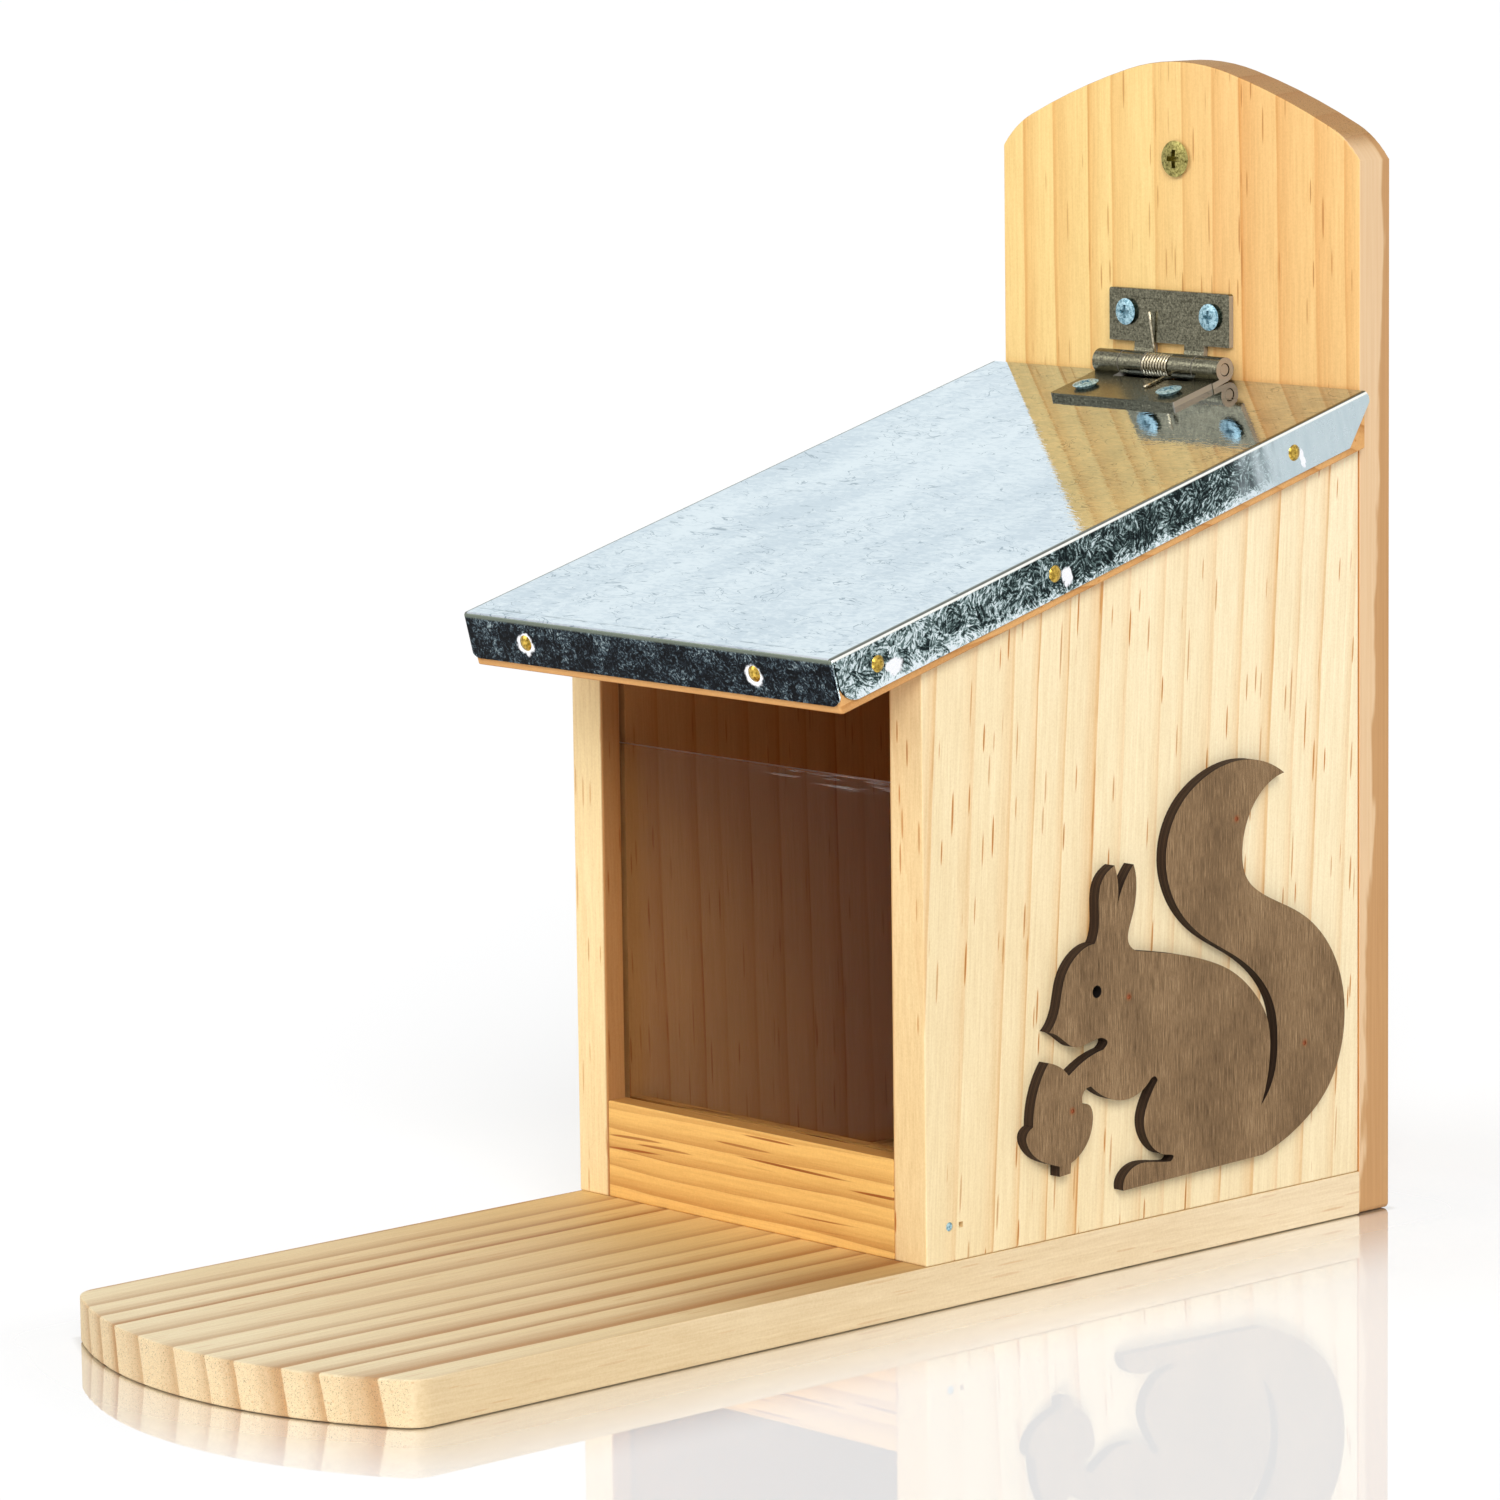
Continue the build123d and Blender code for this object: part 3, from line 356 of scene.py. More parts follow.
class Pine(Material):
    """Pine wood. Its growth rings are cylinders round a pith, so a board's faces and ends agree.

    Axes names the grain's axis, then the axis across the board's face, then the one through it. Pith is
    where the rings' middle lies on the last two, in mm, and ring is their spacing in mm. Early and late
    are the colours of a ring's paler and darker wood. Rise is the share of a ring at which the darker
    wood begins, broad makes it a larger part of the ring, and line is how strong its sharp border is.
    Wander is how far the rings stray, in mm, and tilt is how far the grain drifts across per mm along.
    Ticks is how strong the resin ticks are. Tick stretch lengthens them, and tick extra makes more and
    larger ones. End shade is the darker colour of the sawn end grain, and end amount is its share.
    """

    def __init__(
        self,
        name,
        axes,
        pith,
        ring,
        early,
        late,
        rise=0.55,
        broad=False,
        wander=2.0,
        tilt=0.0,
        line=0.6,
        ticks=1.0,
        tick_colour=(210, 142, 70),
        tick_stretch=1.0,
        tick_extra=0.0,
        end_shade=None,
        end_amount=0.6,
        seed=0.0,
    ):
        super().__init__(name)
        self.spot = self.place_mm()
        found = dict(zip("XYZ", self.split(self.spot)))
        grain, side, self.through = (found[axis] for axis in axes)
        self.across = self.times_add(grain, tilt, side)
        self.shifted = self.add(grain, seed)
        self.stray = wander * 2
        self.lay_rings(pith, ring, seed)
        self.calm = self.times_add(self.step(self.facing(axes[1]), 0.6, 0.9), -0.85, 1.0)
        self.colour = self.mix(self.late_wood(rise, broad), linear(*early), linear(*late))
        self.add_fibres()
        self.add_borders(line, tick_colour)
        self.add_ticks(ticks, tick_colour, tick_stretch, tick_extra)
        end = self.step(self.facing(axes[0]), 0.55, 0.80)
        if end_shade:
            self.add_end_grain(end, end_shade, end_amount)
        relief = self.add(self.times(self.fibre, 0.7), self.times(self.times(self.pores, end), 1.5))
        self.set(
            Base_Color=self.colour,
            Roughness=self.times_add(self.fibre, 0.2, 0.5),
            Normal=self.bump(relief, WOOD_RELIEF, 0.8),
        )
        self.shader.inputs["Specular IOR Level"].default_value = 0.2

    def stretched(self, lengthwise, sideways):
        """The place in the board, scaled along the grain and across it."""
        return self.stretch(
            self.join(self.shifted, self.across, self.through), (lengthwise, sideways, sideways)
        )

    def lay_rings(self, pith, ring, seed):
        """Finds how far through its ring each point lies, and how strong that ring is."""
        self.drift = self.less(self.noise(self.stretched(0.004, 0.012)), 0.5)
        ripple = self.less(self.noise(self.stretched(0.03, 0.10)), 0.5)
        off_across = self.less(self.across, pith[0])
        off_through = self.less(self.through, pith[1])
        squares = self.add(self.times(off_across, off_across), self.times(off_through, off_through))
        radius = self.add(self.math("SQRT", squares), self.times_add(self.drift, self.stray, ripple))
        turns = self.over(radius, ring)
        uneven = self.noise(self.join(self.times(turns, 0.45), seed, 0.0), detail=1.0)
        turns = self.times_add(uneven, 1.3, turns)
        self.phase = self.math("FRACT", turns)
        count = {"W": self.math("FLOOR", turns)}
        self.strength = self.node("ShaderNodeTexWhiteNoise", count, noise_dimensions="1D").outputs["Value"]

    def late_wood(self, rise, broad):
        """The share of the darker wood, which grows through each ring and ends at its border."""
        stops = [(0.0, 0.0), (rise, 0.08), (0.86, 0.55), (0.95, 1.0), (0.985, 0.9), (1.0, 0.0)]
        if broad:
            stops = [(0.0, 0.05), (0.10, 0.0), (rise, 0.10), (rise + 0.25, 0.48)]
            stops += [(0.93, 1.0), (0.98, 0.95), (1.0, 0.05)]
        band = self.ramp(self.phase, stops, "EASE")
        return self.times(band, self.times(self.calm, self.times_add(self.strength, 0.6, 0.4)))

    def add_fibres(self):
        """Fine fibres, pores and broad stains, which take most from blue and least from red."""
        self.fibre = self.noise(self.stretched(0.05, 1.3), detail=7.0, roughness=0.75)
        self.pores = self.noise(self.spot, 1.5, detail=4.0, roughness=0.8)
        stain = self.noise(self.stretched(0.010, 0.045))
        shade = self.times_add(self.fibre, 0.50, 0.75)
        shade = self.add(shade, self.times_add(stain, 0.14, -0.07))
        shade = self.add(shade, self.times_add(self.pores, 0.28, -0.14))
        self.tint(1.0, self.join(*(self.math("POWER", shade, power) for power in (0.8, 1.15, 1.7))))

    def add_borders(self, line, colour):
        """The dark line where a ring ends, broken along the grain."""
        border = self.times(self.step(self.phase, 0.93, 0.965), self.step(self.phase, 0.999, 0.985))
        broken = self.noise(self.stretched(0.018, 0.15), detail=3.0, roughness=0.7)
        border = self.times(border, self.step(broken, 0.42, 0.62))
        border = self.times(border, self.times(self.calm, self.step(self.strength, 0.15, 0.7)))
        self.paint(self.times(border, line), linear(*colour))

    def add_ticks(self, amount, colour, stretch, extra):
        """Short thin resin ticks along the grain, each with a darker core."""
        tick = None
        for length, width, reach, shift, rare in TICK_LAYERS:
            place = self.join(
                self.over(self.add(self.shifted, shift), length * stretch),
                self.over(self.times_add(self.drift, self.stray, self.across), width),
                self.over(self.through, width),
            )
            reach *= 1 + extra
            rare -= extra
            lot = self.split(self.cells(place, out="Color"))[0]
            mark = self.step(self.cells(place), reach, reach * 0.3)
            mark = self.times(mark, self.step(lot, rare, rare + 0.02))
            tick = mark if tick is None else self.larger(tick, mark)
        core = linear(*(value * DARKEST_TICK for value in colour))
        tone = self.mix(self.step(tick, 0.6, 1.0), linear(*colour), core)
        faint = self.step(self.noise(self.stretched(0.02, 0.2), detail=1.0), 0.35, 0.65)
        share = self.times(self.step(tick, 0.0, 0.5), self.times_add(faint, 0.4, 0.6))
        self.paint(self.times(share, amount, clamp=True), tone)

    def add_end_grain(self, end, shade, amount):
        """Sawn end grain, darker and full of pores."""
        sawn = self.mix(amount, self.colour, linear(*shade))
        dots = self.step(self.noise(self.spot, 3.4, detail=3.0), 0.56, 0.68)
        sawn = self.mix(self.times(dots, 0.65), sawn, linear(*(value * 0.5 for value in shade)))
        self.paint(end, sawn)


# Boards. Places are in mm, and a stretch of two places is where a tint fades in.
HOUSE_HALF = 55.5  # mm, half the room between the side panels
BACK_BOARD_FRONT = 152.5  # mm
BOARD_THICKNESS = 12.0  # mm
# Painted shade for the wood inside the house and in the pane's groove, where little light reaches
INSIDE_SHADE = linear(226, 196, 168)
DEEP_INSIDE_SHADE = linear(184, 148, 120)


def dress_shelf():
    """The shelf board, paler at its tip, more orange at the house and darkest at its right corner: painted
    shade of the house, partly the wood's own tone.
    """
    m = Pine(
        "pine_shelf", "YXZ", (-330.0, -60.0), 12.2, early=(244, 221, 180), late=(176, 120, 68),
        rise=0.42, broad=True, wander=1.4, line=0.35, ticks=0.3, end_shade=(232, 196, 142),
        end_amount=0.2, seed=4.0,
    )
    tip = (-200.0, -105.0)
    house_shade_span = (-120.0, -15.0)
    corner_shade_span = (-115.0, -30.0)
    right_part = (20.0, 64.0)
    x, y, _ = m.split(m.place_mm())
    way_x, _, way_z = m.split(m.normal())
    # On the top: paler at the tip, and darker towards the house and most at the right corner, partly
    # painted shade of the house and partly the wood's own tone
    top = m.mix(m.step(y, *tip), linear(262, 268, 272), linear(250, 246, 234))
    top = m.mix(m.step(y, *house_shade_span), top, linear(232, 214, 172))
    corner = m.times(m.step(x, *right_part), m.step(y, *corner_shade_span))
    top = m.mix(corner, top, m.mix(1.0, top, linear(226, 220, 222), "MULTIPLY"))
    m.tint(m.step(way_z, 0.5, 0.8), top)
    pale_from, pale_length = -110.0, 240.0
    backward = m.over(m.less(y, pale_from), pale_length, clamp=True)
    side = m.mix(backward, linear(239, 234, 226), linear(254, 254, 258))
    m.tint(m.step(m.absolute(way_x), 0.7, 0.95), side)
    dress("base_board", m)


def dress_right_panel():
    """The right panel, darker low down in front and paler high up at the back."""
    m = Pine(
        "pine_panel", "ZYX", (-330.0, 190.0), 10.5, early=(252, 229, 186), late=(238, 194, 138),
        rise=0.6, line=0.8, tilt=-0.06, seed=77.0,
    )
    x, y, z = m.split(m.place_mm())
    pale_depth, pale_height = 300.0, 400.0
    far = m.add(m.over(y, pale_depth), m.over(z, pale_height), clamp=True)
    m.tint(1.0, m.mix(far, linear(248, 247, 240), linear(258, 264, 272)))
    m.tint(m.step(m.split(m.normal())[1], -0.6, -0.9), linear(250, 240, 225))
    # Painted shade on the inner face, inside the house
    m.tint(m.step(x, HOUSE_HALF + 1.0, HOUSE_HALF + 0.2), INSIDE_SHADE)
    dress("right_panel", m)


def dress_left_panel():
    """The left panel, with painted shade inside the house and in the pane's groove."""
    m = Pine(
        "pine_panel_left", "ZYX", (-300.0, -160.0), 10.5, early=(250, 222, 168), late=(232, 186, 122),
        ticks=0.7, tilt=0.03, seed=123.0,
    )
    x, y, _ = m.split(m.place_mm())
    low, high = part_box("window_pane")
    from_groove = m.absolute(m.less(y, (low.y + high.y) / 2 / MM))
    in_groove = m.times(m.step(from_groove, 2.0, 1.5), m.step(x, -HOUSE_HALF - 5.0, -HOUSE_HALF - 4.5))
    inside = m.step(x, -HOUSE_HALF - 1.0, -HOUSE_HALF - 0.2)
    # Painted shade on the inner face and in the pane's groove
    m.tint(m.larger(inside, in_groove), DEEP_INSIDE_SHADE)
    dress("left_panel", m)


def dress_rail():
    """The front rail, with painted shade on every face behind its front face."""
    m = Pine(
        "pine_rail", "XZY", (120.0, 50.0), 5.0, early=(244, 194, 112), late=(190, 128, 60),
        rise=0.40, broad=True, wander=7.0, line=1.0, ticks=1.1, tick_colour=(164, 92, 36),
        tick_stretch=2.4, tick_extra=0.2, seed=9.0,
    )
    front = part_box("front_rail")[0].y / MM
    y = m.split(m.place_mm())[1]
    # Painted shade on every face behind the front face
    m.tint(m.step(y, front + 0.2, front + 0.7), linear(194, 174, 160))
    dress("front_rail", m)


def dress_lid_board():
    """The lid board, with painted shade underneath."""
    m = Pine(
        "pine_lid", "XYZ", (40.0, -60.0), 8.0, early=(228, 172, 108), late=(190, 126, 64),
        line=0.3, seed=55.0,
    )
    # Painted shade on the underside
    m.tint(m.step(m.split(m.normal())[2], -0.5, -0.8), linear(226, 206, 188))
    dress("roof_board", m)


def dress_back_board():
    """The back board, with painted shade inside the house, and more orange to the right of its middle."""
    m = Pine(
        "pine_back", "ZXY", (330.0, 190.0), 12.0, early=(250, 214, 142), late=(228, 168, 92),
        rise=0.35, line=0.3, ticks=0.8, tick_colour=(208, 146, 76), tilt=0.01,
        end_shade=(160, 119, 72), end_amount=0.75, seed=31.0,
    )
    lid_back_level = 212.0  # mm, height of the lid's back end
    x, y, z = m.split(m.place_mm())
    sway = m.noise(m.join(x, 0.0, m.times(z, 0.2)), 0.05)
    m.tint(m.step(m.times_add(sway, 30.0, x), -8.0, 42.0), linear(251, 238, 236))
    in_front = m.step(y, BACK_BOARD_FRONT + 1.5, BACK_BOARD_FRONT + 0.5)
    # Painted shade on the front face inside the house, below the lid
    m.tint(m.times(m.step(z, lid_back_level + 1.0, lid_back_level - 1.0), in_front), INSIDE_SHADE)
    m.paint(m.step(m.split(m.normal())[0], 0.5, 0.8), back_board_edge(m, y, z))
    dress("back_board", m)


def back_board_edge(m, y, z):
    """The colour of the right edge: paler at the top and front, and browner low down and towards the back.
    """
    brown_top, brown_length = 165.0, 300.0
    middle = BACK_BOARD_FRONT + BOARD_THICKNESS / 2
    cloud = m.noise(m.join(0.0, m.times(y, 0.12), m.times(z, 0.022)), detail=3.0)
    streak = m.noise(m.join(0.0, m.times(y, 1.2), m.times(z, 0.02)), detail=4.0)
    low = m.over(m.less(brown_top, z), brown_length)
    backward = m.over(m.less(y, middle), BOARD_THICKNESS)
    brown_share = m.add(m.add(low, backward), m.times_add(cloud, 1.6, -0.8))
    pale = m.mix(streak, linear(226, 184, 138), linear(240, 210, 170))
    brown = m.mix(streak, linear(188, 138, 88), linear(212, 166, 116))
    return m.mix(m.step(brown_share, -0.05, 0.12), pale, brown)


dress_shelf()
dress_back_board()
dress_right_panel()
dress_left_panel()
dress_rail()
dress_lid_board()


# Galvanised sheet
PITCH = math.radians(15)
SLOPE = Vector((0, math.cos(PITCH), math.sin(PITCH)))
SLOPE_NORMAL = Vector((0, -math.sin(PITCH), math.cos(PITCH)))
sheet_vertices = [vertex.co for vertex in nodes["roof_sheet"].data.vertices]
SHEET_TOP = max(co.dot(SLOPE_NORMAL) for co in sheet_vertices)
SHEET_FRONT = min(co.dot(SLOPE) for co in sheet_vertices)
SHEET_BACK = max(co.dot(SLOPE) for co in sheet_vertices)
SHEET_HALF = max(co.x for co in sheet_vertices)
FLANGE_DEPTH = 12.8 * MM
SHEET_RELIEF = 0.03 * MM
nail_spots = {
    side: [(low + high) / 2 for low, high in pieces_of("roof_nails_" + side)]
    for side in ("front", "right", "left")
}
# A painted highlight beside each right nail: its place from the nail along and up, half width, half height
SIDE_NAIL_HIGHLIGHTS = ((5.2, -2.6, 3.0, 2.4), (3.9, -1.9, 2.0, 2.6), (2.6, -2.4, 1.1, 2.9))
FRONT_NAIL_HIGHLIGHT = (-0.2, 0.3, 3.4, 3.1)
NAIL_SHADE_RING = (1.9 * MM, 2.6 * MM)  # a ring of painted shade round each right nail fades out between these


class Zinc(Material):
    """Galvanised sheet with frosty spangle: pale on top, dark and mottled on the folded flanges, whose dark
    ground is a painted reflection.

    Slope is the place up the roof and rise the place square to it, both in mm. Along goes from 0 at the
    front fold to 1 at the back, and drop from 0 at the top to 1 at a flange's lower edge.
    """

    def __init__(self, name):
        super().__init__(name)
        self.spot = self.place_mm()
        self.x = self.split(self.spot)[0]
        self.slope = self.over(self.dot(self.place(), SLOPE), MM)
        rise = self.over(self.dot(self.place(), SLOPE_NORMAL), MM)
        self.length = (SHEET_BACK - SHEET_FRONT) / MM
        self.along = self.over(self.less(self.slope, SHEET_FRONT / MM), self.length)
        self.drop = self.over(self.less(SHEET_TOP / MM, rise), FLANGE_DEPTH / MM)
        self.roof_flat = self.join(self.x, self.slope, 0.0)
        self.side_flat = self.join(self.slope, rise, 0.0)
        self.front_flat = self.join(self.x, rise, 0.0)
        wrinkle_flat = self.stretch(self.roof_flat, (0.25, 0.6, 0.0))
        self.wrinkle = self.noise(wrinkle_flat, detail=7.0, roughness=0.7, distortion=1.0)
        ripple = self.noise(wrinkle_flat, distortion=1.0)
        self.small = self.crystals(self.side_flat, 1.3, 47.0)

        self.is_side = self.step(self.facing("X"), 0.6, 0.8)
        self.is_front = self.step(self.dot(self.normal(), -SLOPE), 0.6, 0.8)
        self.colour = self.top()
        self.paint(self.is_side, self.side())
        self.paint(self.is_front, self.front())
        self.paint_fold_reflections()
        self.add_nail_highlights()
        on_flange = self.larger(self.is_side, self.is_front)
        smooth = self.times(self.wrinkle, 0.08)
        rough = self.times_add(self.small, 0.25, 0.25)
        relief = self.add(ripple, self.times(self.times(self.small, on_flange), 0.4))
        self.set(
            Metallic=1.0,
            Roughness=self.mix(on_flange, smooth, rough),
            Normal=self.bump(relief, SHEET_RELIEF, 0.6),
        )

    def crystals(self, flat, size, seed):
        """Frosty zinc crystals on a flat map in mm. Each one has its own tone and fine hatching."""
        warped = self.vector("ADD", flat, self.wobble(flat, 0.9 / size, 3.0, size * 0.5))
        place = self.vector("ADD", warped, (seed, seed, 0.0))
        turn, lane, tone = self.split(self.cells(place, 1 / size, out="Color"))
        angle = self.times(turn, math.pi)
        cosine, sine = self.math("COSINE", angle), self.math("SINE", angle)
        flat_x, flat_y, _ = self.split(place)
        crosswise = self.add(self.times(flat_x, cosine), self.times(flat_y, sine))
        lengthwise = self.less(self.times(flat_y, cosine), self.times(flat_x, sine))
        lane = self.times_add(lane, 30.0, self.times(lengthwise, 0.35))
        hatch = self.step(self.noise(self.join(self.times(crosswise, 1.7), lane, 0.0)), 0.46, 0.58)
        return self.add(self.times(tone, 0.40), self.times_add(hatch, 0.52, -0.02))

    def top(self):
        """Fine hairlines, faint wrinkles, cloudy streaks and a crease just behind the front fold."""
        cloud = self.noise(self.stretch(self.spot, (0.05, 0.02, 0.02)), detail=4.0)
        hair = self.noise(self.stretch(self.roof_flat, (0.06, 0.14, 0.0)), detail=3.0, distortion=1.5)
        hairline = self.step(self.absolute(self.less(hair, 0.5)), 0.015, 0.0)
        hairline = self.times(hairline, self.step(self.noise(self.spot, 0.12), 0.44, 0.54))
        grit = self.step(self.noise(self.stretch(self.roof_flat, (0.35, 1.6, 0.0))), 0.66, 0.78)
        tone = self.add(self.times(cloud, 0.4), self.times(self.wrinkle, 0.6))
        top = self.mix(self.step(tone, 0.40, 0.60), linear(180, 191, 202), linear(206, 213, 220))
        marks = self.larger(self.times(hairline, 0.9), self.times(grit, 0.4))
        top = self.mix(marks, top, linear(116, 134, 148))
        from_fold = self.times(self.along, self.length)
        crease = self.absolute(self.less(from_fold, self.times_add(self.wrinkle, 1.6, 3.2)))
        crease = self.times(self.step(crease, 0.5, 0.1), self.step(self.noise(self.x, 0.06), 0.4, 0.6))
        return self.mix(self.times(crease, 0.65), top, linear(112, 126, 134))

    def side(self):
        """Side flanges: crystals on a dark ground that is a painted reflection, with painted bright
        reflection at both ends and low down, and a smooth pale end.
        """
        large = self.crystals(self.side_flat, 4.2, 11.0)
        patch = self.noise(self.side_flat, 0.05)
        frost = self.add(self.times(large, 0.62), self.times(self.small, 0.38))
        # Painted reflection: the flange is lighter towards its front end, its back end and its lower edge
        painted_front_reflection = self.times(self.step(self.along, 0.60, 0.15), 0.21)
        painted_end_reflection = self.times_add(self.step(self.along, 0.50, 0.78), 0.14, painted_front_reflection)
        low_edge = self.add(self.drop, self.times_add(self.small, 0.10, -0.05))
        painted_low_reflection = self.times(self.step(low_edge, 0.74, 1.0), 0.42)
        level = self.add(frost, self.add(painted_end_reflection, painted_low_reflection))
        level = self.add(level, self.times_add(patch, 0.3, -0.15))
        stops = [
            (0.22, linear(18, 26, 28)),
            (0.44, linear(46, 60, 61)),
            (0.62, linear(100, 120, 119)),
            (0.80, linear(184, 202, 204)),
            (1.0, linear(232, 242, 246)),
        ]
        tone = self.noise(self.stretch(self.side_flat, (0.35, 0.08, 0.0)), detail=3.0)
        smooth = self.mix(tone, linear(182, 200, 206), linear(208, 220, 224))
        smooth_from = self.step(self.times_add(tone, 0.10, self.along), 0.76, 0.88)
        return self.mix(smooth_from, self.ramp(level, stops), smooth)

    def front(self):
        """Front flange: a darker painted reflection still, with cloudy flakes that thin out downwards, and
        a grey band of painted reflection along its fold.
        """
        large = self.crystals(self.front_flat, 2.2, 5.0)
        small = self.crystals(self.front_flat, 0.8, 83.0)
        patch = self.noise(self.front_flat, 0.14, detail=3.0)
        level = self.add(self.times(large, 0.5), self.times(small, 0.5))
        level = self.times_add(self.less(patch, 0.5), 0.7, level)
        level = self.add(level, self.times(self.step(self.drop, 0.5, 0.1), 0.10))
        stops = [
            (0.25, linear(6, 8, 12)),
            (0.5, linear(30, 38, 46)),
            (0.72, linear(82, 98, 106)),
            (0.95, linear(156, 170, 172)),
        ]
        # Painted reflection: a grey band along the top fold
        return self.mix(self.step(self.drop, 0.13, 0.07), self.ramp(level, stops), linear(112, 120, 108))

    def paint_fold_reflections(self):
        """Painted reflection along the side folds: a dark line above a bright highlight."""
        upward = self.dot(self.normal(), SLOPE_NORMAL)
        fold_x = SHEET_HALF / MM
        on_fold = self.step(self.absolute(self.x), fold_x - 1.6, fold_x - 1.2)
        fold_dark_reflection = self.times(self.times(on_fold, self.step(upward, 0.50, 0.62)), 0.9)
        self.paint(fold_dark_reflection, linear(96, 98, 86))
        fold_highlight = self.times(self.step(self.facing("X"), 0.62, 0.80), self.step(self.drop, 0.08, 0.055))
        self.paint(self.times(fold_highlight, self.less(1.0, self.is_front)), linear(252, 252, 246))

    def patch(self, flat, centre, half_width, half_height):
        """A wobbly patch on a flat map for a painted highlight, where a nail has pulled the sheet in and
        its dimple catches the light.
        """
        moved = self.vector("ADD", flat, self.wobble(flat, 0.5, 2.0, 2.4))
        away = self.vector("SUBTRACT", moved, (*centre, 0.0))
        away = self.stretch(away, (1 / half_width, 1 / half_height, 0.0))
        return self.step(self.vector("LENGTH", away, out="Value"), 1.05, 0.8)

    def add_nail_highlights(self):
        """A painted highlight beside each nail, where its dimple catches the light, and a ring of painted
        shade round those on the right.
        """
        bright = 0.0
        nails = sorted(nail_spots["right"], key=lambda spot: spot.y)
        for spot, (shift, lift, half_width, half_height) in zip(nails, SIDE_NAIL_HIGHLIGHTS):
            centre = (spot.dot(SLOPE) / MM + shift, spot.dot(SLOPE_NORMAL) / MM + lift)
            patch = self.patch(self.side_flat, centre, half_width, half_height)
            bright = self.larger(bright, self.times(patch, self.is_side))
        shift, lift, half_width, half_height = FRONT_NAIL_HIGHLIGHT
        for spot in nail_spots["front"]:
            centre = (spot.x / MM + shift, spot.dot(SLOPE_NORMAL) / MM + lift)
            patch = self.patch(self.front_flat, centre, half_width, half_height)
            bright = self.larger(bright, self.times(patch, self.is_front))
        # Painted highlight at the nails' dimples
        self.paint(bright, linear(250, 251, 255))
        # Painted shade round the right nails
        ring = self.times(self.near(nail_spots["right"], *NAIL_SHADE_RING), self.is_side)
        self.paint(self.times(ring, 0.7), linear(40, 46, 44))


dress("roof_sheet", Zinc("galvanised_sheet"))


# Small metal parts
METAL_RELIEF = 0.03 * MM


def mottled_metal(name, colour, dark, roughness, grain_mm, metallic=1.0, bright_ends=None, lines=0.0):
    """A metal with fine mottling between two colours, of a grain size in mm.

    Bright ends is the colour of the faces that look sideways, where the metal was cut; its paleness is
    partly a painted highlight.
    Lines is how strong its brushed lines are.
    """
    m = Material(name)
    place_mm = m.place_mm()
    mottle = m.noise(place_mm, 1 / grain_mm, detail=5.0, roughness=0.65)
    brush = m.noise(m.stretch(place_mm, (0.25, 4.0, 4.0)), detail=3.0)
    share = m.add(m.step(mottle, 0.3, 0.7), m.times_add(brush, lines, -lines / 2), clamp=True)
    tone = m.mix(share, linear(*dark), linear(*colour))
    if bright_ends:
        sideways = m.step(m.facing("X"), 0.8, 0.95)
        tone = m.mix(sideways, tone, linear(*bright_ends))
        metallic = m.times_add(sideways, -0.6, metallic)
    m.set(
        Base_Color=tone,
        Metallic=metallic,
        Roughness=m.times_add(mottle, 0.2, roughness - 0.1),
        Normal=m.bump(mottle, METAL_RELIEF, 0.5),
    )
    return m


brass = mottled_metal("brass_nail", (222, 186, 88), (124, 98, 34), 0.24, 0.8)
hinge_steel = mottled_metal(
    "hinge_steel", (132, 129, 110), (70, 68, 55), 0.24, 0.6, bright_ends=(168, 162, 150), lines=1.0
)
zinc = mottled_metal("zinc_screw", (182, 216, 226), (86, 132, 148), 0.28, 0.9, metallic=0.35)
yellow_zinc = mottled_metal("yellow_zinc_screw", (180, 170, 104), (96, 88, 42), 0.3, 0.8)
spring_steel = mottled_metal("spring_steel", (200, 190, 166), (146, 136, 112), 0.25, 1.0)
rust = mottled_metal("rusty_brad", (178, 92, 44), (120, 58, 24), 0.6, 0.5, metallic=0.2)
for name in ("roof_nails_front", "roof_nails_right", "roof_nails_left"):
    dress(name, brass)
for name in ("hinge_wall_leaf", "hinge_roof_leaf", "hinge_pin"):
    dress(name, hinge_steel)
for name in ("hinge_wall_screws", "hinge_roof_screws", "rail_nails"):
    dress(name, zinc)
for name in ("hanging_screw", "base_screws", "panel_back_screws", "shelf_back_screws"):
    dress(name, yellow_zinc)
dress("figure_brads", rust)

# The hinge's stamped edges are slightly rounded, so they catch the light
STAMPED_ROUNDING = 0.18 * MM
SHARP_FROM = math.radians(40)
for name in ("hinge_wall_leaf", "hinge_roof_leaf"):
    rounding = nodes[name].modifiers.new("stamped_edge", "BEVEL")
    rounding.width = STAMPED_ROUNDING
    rounding.segments = 2
    rounding.limit_method = "ANGLE"
    rounding.angle_limit = SHARP_FROM


# Hinge spring. The wire winds round the pin from its leg on the wall leaf to its leg on the lid leaf.
WIRE = 0.78 * MM
SPRING_RADIUS = 3.0 * MM
SPRING_TURNS = 9
WALL_LEG = 14.0 * MM
WALL_LEG_LEAN = math.radians(7)
LID_LEG_RISE = math.radians(17)
LID_LEG_CLIMB = 4.2 * MM
LID_LEG_BEND = 2.5 * MM
LID_LEG = 7.5 * MM
TURN_STEPS = 32
BEND_STEPS = 4
WIRE_SIDES = 12
TIP_ROUNDING = 0.5  # how far a tube's tip stands out, as a share of its radius


